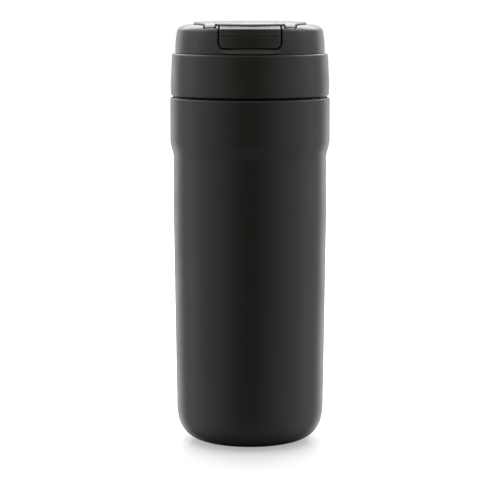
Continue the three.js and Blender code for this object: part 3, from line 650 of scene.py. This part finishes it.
def inner_liner():
    floor_z = top_z("getter_pad") + 0.3 + LINER_WALL
    seat_top = LIP_Z - 14.3
    thread_heights = spaced(THREAD_LOW_Z - 1.5, THREAD_LOW_Z + 9, 44)
    inside = rounded([
        (0, floor_z, 0),
        (9, floor_z, 2),
        (11, floor_z + 0.5, 2),
        (21, floor_z + 0.3, 3),
        (LINER_FLOOR_R, floor_z + 1.6, 8),
        (LINER_LOW_R, floor_z + 14, 6),
        (LINER_R, STEP_LOW_Z, 3),
        (SEAT_R, STEP_LOW_Z + 4.5, 2),
        (SEAT_R, seat_top, 0.8),
        (MOUTH_R, seat_top + 1.9, 0.8),
    ], 6)
    inside += [(MOUTH_R, z) for z in thread_heights]
    lip = rounded([
        (MOUTH_R, LIP_Z - 1.9, 0.5),
        (34.8, LIP_Z - 0.4, 0.5),
        (35.4, LIP_Z - 0.15, 0.25),
        (35.6, LIP_Z - 0.25, 0.15),
        (35.6, LIP_Z - 1.1, 0.2),
        (MOUTH_R + LINER_WALL, LIP_Z - 2.2, 0.5),
        (MOUTH_R + LINER_WALL, seat_top + 1.7, 0.5),
        (SEAT_R + LINER_WALL, seat_top, 0.5),
        (SEAT_R + LINER_WALL, STEP_LOW_Z + 4.5, 1),
        (LINER_R + LINER_WALL, STEP_LOW_Z, 1),
        (LINER_LOW_R + LINER_WALL, floor_z + 14, 4),
        (LINER_FLOOR_R + LINER_WALL, floor_z + 0.9, 7),
        (21, floor_z - LINER_WALL, 2),
        (0, floor_z - LINER_WALL, 0),
    ], 6)

    def rolled(radius, angle, z):
        in_thread = np.abs(radius - MOUTH_R) < 0.05
        return radius - in_thread * LINER_RIDGE * thread(angle, z, 0, 1.6), z

    points, faces = turned(inside + lip, 180, warp=rolled)
    add_piece("inner_liner_steel", points, faces, "vessel", "liner_steel", STEEL, "inner_liner")


def outer_base():
    edge_r, top = reach("outer_base"), top_z("outer_base")
    recess_r = reach("foot_pad") + 0.3
    recess_z = 1.6
    hole = reach("vacuum_seal") + 0.3
    outline = rounded([
        (hole, top, 0.2),
        (hole, recess_z, 0.3),
        (recess_r, recess_z, 0.3),
        (recess_r, 0.36, 0.3),
        (edge_r - 0.7, base_curve_z(edge_r - 0.7), 0.2),
        (edge_r, base_curve_z(edge_r) + 0.12, 0.2),
        (edge_r, top, 0.4),
    ])
    points, faces = turned(outline, 160, closed=True)
    add_piece("outer_base_disc", points, faces, "vessel", "powder_coat", COAT, "outer_base")


def foot_pad():
    """Flat rubber disc with shallow rings moulded in its underside."""
    radius, top = reach("foot_pad"), top_z("foot_pad")
    outline = [(0, top, 0), (radius, top, 0.2), (radius, 0.35, 0.35), (radius - 0.5, 0, 0.2)]
    for ring in (16.4, 14.2, 12.0, 9.8, 7.6):
        outline += [(ring + 0.45, 0, 0.12), (ring + 0.25, 0.3, 0.1)]
        outline += [(ring - 0.25, 0.3, 0.1), (ring - 0.45, 0, 0.12)]
    points, faces = turned(rounded(outline + [(0, 0, 0)], 3), 144)
    add_piece("foot_pad_rubber", points, faces, "vessel", "foot_rubber", RUBBER, "foot_pad")


def vacuum_parts():
    seal_r = reach("vacuum_seal")
    seal_low, seal_top = low_z("vacuum_seal"), top_z("vacuum_seal")
    seal = rounded([(0, seal_low, 0), (seal_r, seal_low, 0.3), (seal_r, seal_low + 1.2, 0.6),
                    (1.1, seal_top, 0.8), (0, seal_top, 0)])
    points, faces = turned(seal, 48)
    add_piece("vacuum_seal_bead", points, faces, "vessel", "getter_metal", GETTER, "vacuum_seal")
    low, high = box_mm("getter_pad")
    getter = rounded([(0, low[2], 0), (5.2, low[2], 0.3), (high[0], low[2] + 0.4, 0.4),
                      (high[0], high[2], 0.2), (0, high[2], 0)])
    points, faces = turned(getter, 64)
    add_piece("getter_pad_disc", points, faces, "vessel", "getter_metal", GETTER, "getter_pad")


# ---- Lid body ----
def lid_collar():
    outline = rounded([
        (COLLAR_BORE_R, COLLAR_EDGE_Z - 0.6, 0.2),
        (GROOVE_R, COLLAR_EDGE_Z - 0.6, 0.1),
        (GROOVE_R, COLLAR_EDGE_Z, 0.1),
        (COLLAR_R - 0.2, COLLAR_EDGE_Z + 0.1, 0.8),
        (COLLAR_R, COLLAR_EDGE_Z + 2.8, 1.5),
        (COLLAR_R - 0.25, COLLAR_EDGE_Z + 9.8, 4),
        (COLLAR_R - 0.6, COLLAR_TOP_Z - 3.5, 3),
        (COLLAR_R - 0.75, COLLAR_TOP_Z - 0.3, 1.0),
        (COLLAR_R - 2.2, COLLAR_TOP_Z, 0.5),
        (SPIGOT_R + 0.3, COLLAR_TOP_Z, 0.2),
        (SPIGOT_R + 0.3, COLLAR_TOP_Z - 1.6, 0.3),
        (COLLAR_BORE_R - 0.5, COLLAR_TOP_Z - 2.2, 0.6),
        (COLLAR_BORE_R, COLLAR_TOP_Z - 3.9, 0.6),
    ], 6)
    points, faces = turned(outline, 200, closed=True)
    obj = add_piece("lid_collar_ring", points, faces, "lid", "lid_plastic", PLASTIC, "lid_collar")
    # Painted shade: the points in the groove under the collar are marked for near-black colour with little shine.
    away = np.hypot(points[:, 0], points[:, 1])
    painted_groove_shade = (points[:, 2] < COLLAR_EDGE_Z + 0.05) & (away < GROOVE_R + 0.3)
    shade = obj.data.attributes.new("painted_groove_shade", "FLOAT", "POINT")
    shade.data.foreach_set("value", painted_groove_shade.astype(np.float32))


def screw_plug():
    low, high = low_z("screw_plug"), top_z("screw_plug")
    flange_r = reach("screw_plug")
    bore = PLUG_R - 1.6
    flange_z = COLLAR_EDGE_Z + 1.1
    thread_heights = spaced(THREAD_LOW_Z - 1.7, THREAD_LOW_Z + 9.2, 44)
    outline = rounded([(bore, high, 0.3), (bore, low, 0.3), (PLUG_R, low, 0.7)], 4)
    outline += [(PLUG_R, z) for z in thread_heights]
    outline += rounded([
        (PLUG_R, flange_z - 0.6, 0.5),
        (flange_r, flange_z, 0.3),
        (flange_r, flange_z + 1.6, 0.3),
        (PLUG_R, flange_z + 2.2, 0.6),
        (PLUG_R, high, 0.3),
    ], 4)

    def cast(r, angle, z):
        in_thread = (np.abs(r - PLUG_R) < 0.05) & (z < flange_z - 1)
        return r + in_thread * PLUG_RIDGE * thread(angle, z, -math.pi / 2, 1.7), z

    points, faces = turned(outline, 180, closed=True, warp=cast)
    add_piece("screw_plug_threaded", points, faces, "lid", "inner_plastic", INNER, "screw_plug")


def plug_bottom():
    low, high = box_mm("plug_bottom")
    rim = high[0]
    seat_r, wall_r, bore = 30.1, 30.5, 28.6
    seat_low_z, floor_z, seat_high_z, flange_z = 144.2, 145.6, 145.9, 146.2
    profile = [
        (-1, low[2]), (rim - 0.5, low[2]), (rim, low[2] + 0.5), (rim, seat_low_z), (seat_r, seat_low_z),
        (seat_r, seat_high_z), (rim, seat_high_z), (rim, flange_z), (wall_r, flange_z), (wall_r, high[2]),
        (bore, high[2]), (bore, floor_z), (-1, floor_z),
    ]

    def field(x, y, z):
        disc = outline_distance(np.sqrt(x * x + y * y), z, profile)
        disc = cut(disc, oval(x, y, 5, 3, SIP_Y), 0.5)
        return cut(disc, oval(x, y, 1.5, 1.5, VENT_Y), 0.4)

    points, faces = surface_of(field, low, high, 0.4)
    add_piece("plug_bottom_cap", points, faces, "lid", "inner_plastic", INNER, "plug_bottom")


def lid_seal_ring():
    low, high = box_mm("lid_seal_ring")
    inner, outer = 30.4, high[0]
    outline = rounded([
        (inner, low[2], 0.15), (outer - 1, low[2], 0.2), (outer, low[2] + 0.25, 0.12),
        (outer - 0.7, low[2] + 0.6, 0.1), (outer, low[2] + 1.0, 0.12), (inner, high[2], 0.15),
    ], 4)
    points, faces = turned(outline, 180, closed=True)
    name = "lid_seal_ring_silicone"
    add_piece(name, points, faces, "thread_carrier", "silicone", SILICONE, "lid_seal_ring")


def deck_gasket():
    mid_r, half_r, half_z = 29.75, 0.74, 0.7
    mid_z = (low_z("deck_gasket") + top_z("deck_gasket")) / 2
    turn = np.arange(16) * math.pi / 8
    ring = [(mid_r + half_r * math.cos(a), mid_z + half_z * math.sin(a)) for a in turn]
    points, faces = turned(ring, 160, closed=True)
    add_piece("deck_gasket_silicone", points, faces, "lid", "silicone", SILICONE, "deck_gasket")


def drink_channel():
    low, high = box_mm("drink_channel")
    wall = 1.2
    outline = rounded([(0, low[2], 0.3), (wall, low[2], 0.3), (wall, high[2], 0.3), (0, high[2], 0.3)])
    centre = (0, (low[1] + high[1]) / 2)
    inside = (high[0] - wall, (high[1] - low[1]) / 2 - wall)
    points, faces = turned(outline, 72, closed=True, stretch=inside, centre=centre)
    add_piece("drink_channel_tube", points, faces, "lid", "inner_plastic", INNER, "drink_channel")


# ---- Top housing, cover and latch ----
def cover_outline():
    """Plan of the flip cover: bowed notch for the button, front arms, waisted sides, hinge end."""
    edge_r, front_x, notch_y, bow = 32.6, 20.8, -31.0, 23.5
    across = spaced(-NOTCH_X, NOTCH_X, 16)
    notch = [(x, notch_y + bow - math.sqrt(bow**2 - x * x)) for x in across]
    arm = [(x, -math.sqrt(edge_r**2 - x * x)) for x in spaced(NOTCH_X + 0.5, front_x - 0.2, 5)]
    side = through([(front_x, -21.4), (24.6, -11), (26.4, 1), (24.6, 12.5), (KNUCKLE_OUT_X, 18.6)], 5)
    right = arm + [tuple(point) for point in side] + [(KNUCKLE_OUT_X, HINGE_Y)]
    left = [(-x, y) for x, y in reversed(right)]
    return notch + right + left


OUTLINE = cover_outline()


def shoulder_curve():
    """The housing's rounded shoulder, from its wall up to its deck."""
    turn = spaced(0, math.pi / 2, 12)
    return list(zip(SHOULDER_R - SHOULDER_W + SHOULDER_W * np.cos(turn), SHOULDER_Z + SHOULDER_H * np.sin(turn)))


def front_window(half, bottom, corner):
    """Outline in X and Z, open upwards, with rounded lower corners."""
    points = [(-half, ABOVE_LID_Z)]
    for centre_x, start in ((-half + corner, math.pi), (half - corner, 1.5 * math.pi)):
        for turn in spaced(start, start + math.pi / 2, 6):
            points.append((centre_x + corner * math.cos(turn), bottom + corner + corner * math.sin(turn)))
    return points + [(half, ABOVE_LID_Z)]


def top_housing():
    wall = HOUSING_WALL
    low, high = box_mm("top_housing")
    spigot_z, bore_top_z, opening_z = 181.2, 184.6, 190
    profile = [
        (-1, DECK_Z), *reversed(shoulder_curve()), (34.62, 190.5), (HOUSING_R - 0.02, 186.5),
        (HOUSING_R, HOUSING_LOW_Z - 0.25), (SPIGOT_R, HOUSING_LOW_Z - 0.25),
        (SPIGOT_R, spigot_z), (SPIGOT_BORE_R, spigot_z), (SPIGOT_BORE_R, bore_top_z),
        (HOUSING_R - wall, 186), (SHOULDER_R - wall, SHOULDER_Z - wall),
        (SHOULDER_R - wall - SHOULDER_W + 2, DECK_Z - wall), (-1, DECK_Z - wall),
    ]
    lip_z = HOUSING_LOW_Z
    lip_profile = [
        (HOUSING_R - 1, lip_z), (THUMB_LIP_R - 0.1, lip_z), (THUMB_LIP_R, lip_z + 0.5),
        (THUMB_LIP_R - 0.6, lip_z + 1.3), (HOUSING_R - 0.1, lip_z + 2.4), (HOUSING_R - 1, lip_z + 2.4),
    ]
    window = front_window(BUTTON_X + 0.6, BUTTON_LOW_Z - 0.6, 3.0)
    ear = ((BAY_X, BAY_X + 2.7), (HINGE_Y - 2.9, HINGE_Y + 2.9), (190.6, 195.6))
    bay_spans = ((-BAY_X, BAY_X), (HINGE_Y - 3, HINGE_Y + 6), (opening_z, ABOVE_LID_Z))

    def field(x, y, z):
        body = outline_distance(np.sqrt(x * x + y * y), z, profile)
        beside_arm = np.clip((-y - 25.5) / 1.5, 0, 1) * np.clip((np.abs(x) - NOTCH_X - 0.6) / 0.6, 0, 1)
        opening = both(outline_distance(x, y, OUTLINE) - COVER_GAP + 0.3 * beside_arm, opening_z - z)
        bay = block(x, y, z, bay_spans, 0.5)
        slot = both(outline_distance(x, z, window), y + 26)
        body = cut(body, joined(opening, bay, 0.4), 0.7 - 0.45 * beside_arm)
        body = cut(body, slot, 0.5)
        fading = np.maximum(np.abs(x) - THUMB_LIP_FADE_X, 0) / (THUMB_LIP_X - THUMB_LIP_FADE_X)
        thumb_lip = outline_distance(np.sqrt(x * x + y * y), z, lip_profile) + 0.8 * fading * fading
        body = joined(body, both(thumb_lip, both(np.abs(x) - THUMB_LIP_X, y), 1.2), 0.6)
        for side in (-1, 1):
            body = joined(body, block(side * x, y, z, ear, 0.3), 0.4)
        return cut(body, hinge_bar(x, y, z, PIN_BORE_R, -BAY_X - 5, BAY_X + 5), 0.2)

    points, faces = surface_of(field, low, high, 0.36)
    add_piece("top_housing_shell", points, faces, "lid", "lid_plastic", PLASTIC, "top_housing")


def drink_well():
    low, high = box_mm("drink_well")
    floor = TRAY_TOP_Z - 1.6
    bore, groove_r, lip_r, skirt_r = 28.0, 28.7, 29.4, 30.3
    skirt_z = 176
    profile = [
        (-1, floor), (bore, floor), (bore, skirt_z), (lip_r, skirt_z), (lip_r, skirt_z + 1), (groove_r, skirt_z + 1),
        (groove_r, skirt_z + 3), (skirt_r, skirt_z + 3), (skirt_r, floor), (high[0], floor),
        (high[0], TRAY_TOP_Z), (-1, TRAY_TOP_Z),
    ]
    wall_y = (-23.4, -22.2)
    spring_wall = ((6.5, 16.5), wall_y, (184, 192.6))
    all_z = (170, 200)
    button_room = ((-17, 17), (-40, wall_y[0]), all_z)
    hook_room = ((-6.5, 6.5), (-40, wall_y[0] + 0.6), all_z)

    def field(x, y, z):
        tray = outline_distance(np.sqrt(x * x + y * y), z, profile)
        spout = both(oval(x, y, *SIP_HALF, SIP_Y), between(z, floor + 0.2, TRAY_TOP_Z + 2.4), 0.8)
        vent = both(oval(x, y, 3.6, 3.6, VENT_Y), between(z, floor + 0.2, TRAY_TOP_Z + 1.4), 0.6)
        tray = joined(joined(tray, spout, 0.8), vent, 0.8)
        for side in (-1, 1):
            tray = joined(tray, block(side * x, y, z, spring_wall), 0.5)
        tray = cut(tray, block(x, y, z, button_room))
        tray = cut(tray, block(x, y, z, hook_room))
        tray = cut(tray, oval(x, y, 6.2, 3.2, SIP_Y), 0.5)
        return cut(tray, oval(x, y, 1.5, 1.5, VENT_Y), 0.4)

    points, faces = surface_of(field, low, high, 0.42)
    add_piece("drink_well_tray", points, faces, "lid", "inner_plastic", INNER, "drink_well")


def crown(drop):
    """The cover's crowned top surface from the axis outwards, lowered by a drop."""
    spine = through([(-1, 0), (14, 0.05), (22, 0.2), (26.5, 0.5), (29, 1.0), (31, 1.8), (33.6, 3.4)], 5)
    return [(r, COVER_TOP_Z - fall - drop) for r, fall in spine]


def flip_cover():
    profile = crown(0) + list(reversed(crown(COVER_T)))
    spring_room_r = 2.2
    low, high = box_mm("flip_cover")
    below_z = low[2] - 10
    front_half = ((-KNUCKLE_IN_X, KNUCKLE_IN_X), (0, HINGE_Y), (below_z, HINGE_Z))
    leg_slot = ((-SPRING_HALF - 0.8, -SPRING_HALF + 0.8), (HINGE_Y - 0.1, HINGE_Y + 5), (below_z, HINGE_Z))

    def field(x, y, z):
        plate = outline_distance(np.sqrt(x * x + y * y), z, profile)
        plan = outline_distance(x, y, OUTLINE)
        in_notch = np.clip((NOTCH_X + 1 - np.abs(x)) / 2, 0, 1) * np.clip((-20 - y) / 2, 0, 1)
        plate = both(plate, both(plan, y - HINGE_Y), 0.8 + in_notch)
        for side in (-1, 1):
            plate = joined(plate, hinge_bar(side * x, y, z, KNUCKLE_R, KNUCKLE_IN_X, KNUCKLE_OUT_X, 0.5), 0.5)
        barrel = hinge_bar(x, y, z, KNUCKLE_R, -KNUCKLE_IN_X - 0.1, KNUCKLE_IN_X + 0.1)
        barrel = cut(barrel, block(x, y, z, front_half, 0))
        plate = joined(plate, cut(barrel, block(x, y, z, leg_slot, 0), 0.1), 0.4)
        plate = cut(plate, hinge_bar(x, y, z, spring_room_r, -KNUCKLE_IN_X, KNUCKLE_IN_X), 0.2)
        return cut(plate, hinge_bar(x, y, z, PIN_BORE_R, -30, 30), 0.2)

    points, faces = surface_of(field, low, high, 0.36)
    add_piece("flip_cover_panel", points, faces, "cover", "lid_plastic", PLASTIC, "flip_cover")


def cover_underplate():
    low, high = box_mm("cover_underplate")
    profile = crown(COVER_T + 0.3) + [(34, 193.2), (30, 194.2), (-1, 194.6)]
    catch_z = 190.3
    leg_spans = ((-CATCH_X, CATCH_X), (CATCH_FRONT_Y, CATCH_FRONT_Y + 1.2), (catch_z, 195))
    foot_spans = ((-CATCH_X, CATCH_X), (CATCH_FRONT_Y, CATCH_FRONT_Y + 2), (catch_z, 191.2))

    def field(x, y, z):
        plate = outline_distance(np.sqrt(x * x + y * y), z, profile)
        plan = outline_distance(x, y, OUTLINE) + 1.6
        plate = both(plate, both(plan, y - HINGE_Y + KNUCKLE_R + 0.6), 0.5)
        catch = joined(block(x, y, z, leg_spans, 0.15), block(x, y, z, foot_spans, 0.15), 0.2)
        return joined(plate, catch, 0.5)

    points, faces = surface_of(field, low, high, 0.36)
    add_piece("cover_underplate_skin", points, faces, "cover", "inner_plastic", INNER, "cover_underplate")


def stoppers():
    low, high = box_mm("sip_stopper")
    pad_low_z, nose_top_z = 192.8, 193.4

    def plug(x, y, z):
        pad = both(oval(x, y, *SIP_HALF, SIP_Y), between(z, pad_low_z, high[2]), 0.5)
        nose = both(oval(x, y, 5.6, 2.6, SIP_Y), between(z, low[2], nose_top_z), 0.9)
        return joined(pad, nose, 0.5)

    points, faces = surface_of(plug, low, high, 0.22)
    add_piece("sip_stopper_silicone", points, faces, "cover", "silicone", SILICONE, "sip_stopper")
    low, high = box_mm("vent_stopper")
    radius = high[0]
    outline = rounded([(0, low[2], 0), (2.0, low[2], 0.5), (radius, low[2] + 0.6, 0.5),
                       (radius, high[2], 0.2), (0, high[2], 0)])
    points, faces = turned(outline, 64, centre=(0, VENT_Y))
    add_piece("vent_stopper_silicone", points, faces, "cover", "silicone", SILICONE, "vent_stopper")


def latch_button():
    face = front_window(BUTTON_X, BUTTON_LOW_Z, 2.4)
    low_edge = BUTTON_LOW_Z
    crease = BUTTON_CREASE_Z
    edge = BUTTON_EDGE_Z
    profile = [
        (35.2, low_edge - 1), (35.0, crease - 0.2), (34.62, crease), (34.97, crease + 0.22),
        (34.5, edge - 0.6), (34.2, edge - 0.4), (33.4, edge), (32.2, edge + 0.65), (30.5, BUTTON_TOP_Z),
        (30.3, BUTTON_TOP_Z - 1.2), (33.0, 193.6), (33.0, 192.6), (31.8, 192.2), (31.8, low_edge - 1),
    ]
    flange_low_z, flange_top_z = 187, 190.8
    flange = [(30.6, flange_low_z), (32.0, flange_low_z), (32.0, flange_top_z), (30.6, flange_top_z)]
    seat_front = -28.2
    seat_spans = ((7.3, 11.7), (seat_front - 1.4, seat_front), (187.2, flange_top_z))
    hook_x = (-HOOK_X, HOOK_X)
    arm_z, hook_top_z = 188.4, 192.6
    arm_spans = (hook_x, (-31, HOOK_BACK_Y), (arm_z, 189.4))
    riser_spans = (hook_x, (-25.8, HOOK_BACK_Y), (arm_z, hook_top_z))
    hook_spans = (hook_x, (-26.1, HOOK_BACK_Y), (191.6, hook_top_z))

    def field(x, y, z):
        away = np.sqrt(x * x + y * y)
        front = y + 20
        skin = both(outline_distance(away, z, profile), both(outline_distance(x, z, face), front), 0.45)
        cover_room = both(outline_distance(x, y, OUTLINE) - BUTTON_ROOM, 193.4 - z)
        skin = cut(skin, cover_room, 0.3)
        back = both(outline_distance(away, z, flange), both(np.abs(x) - BUTTON_FLANGE_X, front), 0.3)
        body = joined(skin, back, 0.3)
        for side in (-1, 1):
            body = joined(body, block(side * x, y, z, seat_spans), 0.2)
        arm = block(x, y, z, arm_spans, 0.15)
        riser = block(x, y, z, riser_spans, 0.15)
        hook = block(x, y, z, hook_spans, 0.15)
        return joined(body, joined(arm, joined(riser, hook, 0.2), 0.3), 0.3)

    low, high = box_mm("latch_button")
    points, faces = surface_of(field, low, high, 0.2)
    add_piece("latch_button_tab", points, faces, "button", "lid_plastic", PLASTIC, "latch_button")


# ---- Hinge and springs ----
def hinge_pin():
    low, high = box_mm("hinge_pin")
    outline = rounded([(0, low[0], 0), (PIN_R, low[0], 0.3), (PIN_R, high[0], 0.3), (0, high[0], 0)], 3)
    points, faces = turned(outline, 32)
    points = np.stack([points[:, 2], HINGE_Y + points[:, 0], HINGE_Z + points[:, 1]], axis=1)
    add_piece("hinge_pin_steel", points, faces, "lid", "spring_steel", WIRE, "hinge_pin")


def cover_spring():
    """Torsion spring round the pin, one leg on the tray and one under the cover, so that it winds up."""
    radius, wire_r, turns = 1.55, 0.3, 9.5
    half = SPRING_HALF
    t = spaced(0, 1, int(turns * 20))
    angle = -math.pi / 2 + 2 * math.pi * turns * t
    along = -half + 2 * half * t
    coil = np.stack([along, HINGE_Y + radius * np.cos(angle), HINGE_Z + radius * np.sin(angle)], axis=1)
    lid_leg = [(-half, HINGE_Y - out, HINGE_Z - radius - 0.34 * out) for out in (5.0, 4.0, 2.6, 1.2)]
    cover_leg = [(half, HINGE_Y - out, HINGE_Z + radius) for out in (1.2, 2.4, 3.6)]
    points, faces = wire(lid_leg + coil.tolist() + cover_leg, wire_r)
    obj = add_piece("cover_spring_coil", points, faces, None, "spring_steel", WIRE, "cover_spring")
    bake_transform(obj)


def latch_spring(node):
    low, high = box_mm(node)
    wire_r, turns = 0.25, 4
    radius = (high[0] - low[0]) / 2 - wire_r
    centre_x, centre_z = (low[0] + high[0]) / 2, (low[2] + high[2]) / 2
    t = spaced(0, 1, turns * 18)
    along = np.clip((t - 0.12) / 0.76, 0, 1)
    angle = 2 * math.pi * turns * t
    y = low[1] + wire_r + (high[1] - low[1] - 2 * wire_r) * along
    path = np.stack([centre_x + radius * np.cos(angle), y, centre_z + radius * np.sin(angle)], axis=1)
    points, faces = wire(path, wire_r)
    obj = add_piece(node + "_coil", points, faces, "lid", "spring_steel", WIRE, node)
    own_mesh(obj)


outer_shell()
inner_liner()
outer_base()
foot_pad()
vacuum_parts()
lid_collar()
screw_plug()
plug_bottom()
lid_seal_ring()
deck_gasket()
drink_channel()
top_housing()
drink_well()
flip_cover()
cover_underplate()
stoppers()
latch_button()
hinge_pin()
cover_spring()
for spring in ("latch_spring_left", "latch_spring_right"):
    latch_spring(spring)


# ---- Floor, light and camera, in metres ----
FLOOR_HALF = 4.0
FLOOR_WHITE = 0.6
FLOOR_GLOW = 0.4
FLOOR_SHEEN = 0.1
CONTACT_R = 0.026


def mix_shaders(nodes, factor, first, second):
    node = nodes.add("ShaderNodeMixShader")
    for socket, value in zip(node.inputs, (factor, first, second)):
        if isinstance(value, bpy.types.NodeSocket):
            nodes.tree.links.new(value, socket)
        else:
            socket.default_value = value
    return node.outputs[0]


def floor():
    """White sweep. Only the camera sees it all; the mug reflects the studio's ramp below the horizon as well,
    and a near-black disc under itself, painted shade for the dark of its own contact with the floor."""
    half = FLOOR_HALF
    mesh = bpy.data.meshes.new("floor")
    corners = [(-half, -half, 0), (half, -half, 0), (half, half, 0), (-half, half, 0)]
    mesh.from_pydata(corners, [], [(0, 1, 2, 3)])
    obj = bpy.data.objects.new("floor", mesh)
    bpy.context.scene.collection.objects.link(obj)
    material, nodes, shader = new_material("floor_white")
    seen = nodes.add("ShaderNodeLightPath").outputs["Is Camera Ray"]
    white = nodes.add("ShaderNodeBsdfDiffuse", None, Color=grey(FLOOR_WHITE)).outputs[0]
    gloss = nodes.add("ShaderNodeBsdfGlossy", None, Color=grey(1), Roughness=0.07).outputs[0]
    clear = nodes.add("ShaderNodeBsdfTransparent").outputs[0]
    # Painted shade: a near-black disc under the mug, seen by all rays but the camera's, standing for its contact
    # shadow.
    painted_contact_shade = nodes.add("ShaderNodeBsdfDiffuse", None, Color=grey(0.03)).outputs[0]
    place = nodes.add("ShaderNodeNewGeometry").outputs["Position"]
    away = nodes.add("ShaderNodeVectorMath", {"operation": "LENGTH"}, **{"0": place}).outputs["Value"]
    under = nodes.ranged(away, 1, 0, CONTACT_R, CONTACT_R + 0.014)
    unseen = mix_shaders(nodes, under, clear, painted_contact_shade)
    glow_strength = nodes.ranged(away, FLOOR_GLOW, 1, 0.3, 0.9)
    glow = nodes.add("ShaderNodeEmission", None, Color=grey(1), Strength=glow_strength).outputs[0]
    top = mix_shaders(nodes, FLOOR_SHEEN, white, gloss)
    lit = nodes.add("ShaderNodeAddShader")
    nodes.tree.links.new(top, lit.inputs[0])
    nodes.tree.links.new(glow, lit.inputs[1])
    out = nodes.tree.nodes["Material Output"]
    nodes.tree.links.new(mix_shaders(nodes, seen, unseen, lit.outputs[0]), out.inputs["Surface"])
    nodes.tree.nodes.remove(shader)
    mesh.materials.append(material)


# Brightness of the studio against the direction's Y: -1 is towards the camera, 1 is behind the mug.
STUDIO = ((-1.0, 0.0), (-0.93, 0.14), (-0.8, 0.41), (-0.5, 0.68), (-0.15, 0.74), (0.2, 1.4), (0.55, 0.15),
          (0.85, 2.6), (0.95, 1.2), (1.0, 0.6))
# Below this slope the studio darkens towards the floor under the mug.
DIM_FROM_Z, DIM_TO_Z, DIM_LOW = -0.35, -0.9, 0.25


def world_light():
    """Black behind the camera, lighter at the sides, and a backdrop that the camera sees as pure white."""
    world = bpy.data.worlds.new("studio")
    bpy.context.scene.world = world
    world.use_nodes = True
    nodes = Nodes(world.node_tree)
    background = world.node_tree.nodes["Background"]
    direction = nodes.add("ShaderNodeTexCoord").outputs["Generated"]
    parts = nodes.add("ShaderNodeSeparateXYZ", None, Vector=direction).outputs
    ramp = nodes.add("ShaderNodeValToRGB", None, Fac=nodes.ranged(parts["Y"], 0, 1, -1, 1))
    dim = nodes.ranged(parts["Z"], DIM_LOW, 1, DIM_TO_Z, DIM_FROM_Z)
    round_mug = nodes.mixed(dim, (0, 0, 0, 1), ramp.outputs[0])
    stops = ramp.color_ramp.elements
    while len(stops) < len(STUDIO):
        stops.new(0.5)
    for stop, (y, value) in zip(stops, STUDIO):
        stop.position = (y + 1) / 2
        stop.color = grey(value)
    rays = nodes.add("ShaderNodeLightPath").outputs["Is Camera Ray"]
    nodes.feed(background, "Color", nodes.mixed(rays, round_mug, (1, 1, 1, 1)))
    background.inputs["Strength"].default_value = 1.0


def area_light(name, place, aim, size, brightness):
    """A softbox; brightness is its radiance, with the white backdrop at 1."""
    light = bpy.data.lights.new(name, "AREA")
    light.shape = "RECTANGLE"
    light.size, light.size_y = size
    light.energy = brightness * math.pi * size[0] * size[1]
    obj = bpy.data.objects.new(name, light)
    bpy.context.scene.collection.objects.link(obj)
    obj.location = place
    obj.rotation_euler = (Vector(aim) - Vector(place)).to_track_quat("-Z", "Y").to_euler()
    obj.visible_camera = False


CAMERA_PLACE = (0, -0.950, 0.2065)
CAMERA_TIP = 0.1178
CAMERA_LENS = 145.5


def camera():
    """Long lens a little above the lid, tipped down."""
    data = bpy.data.cameras.new("camera")
    data.sensor_width = 36.0
    data.lens = CAMERA_LENS
    data.clip_start, data.clip_end = 0.05, 20
    obj = bpy.data.objects.new("camera", data)
    bpy.context.scene.collection.objects.link(obj)
    obj.location = CAMERA_PLACE
    obj.rotation_euler = (math.pi / 2 - CAMERA_TIP, 0, 0)
    bpy.context.scene.camera = obj


floor()
world_light()
MUG_MIDDLE = (0, 0, 0.15)
area_light("back_softbox", (0, 0.9, 1.1), MUG_MIDDLE, (2.0, 0.9), 5.3)
area_light("left_softbox", (-1.0, 0.15, 0.95), MUG_MIDDLE, (0.6, 0.9), 1.6)
area_light("right_softbox", (1.0, 0.15, 0.95), MUG_MIDDLE, (0.6, 0.9), 1.2)
camera()
bpy.context.scene.view_settings.view_transform = "Standard"
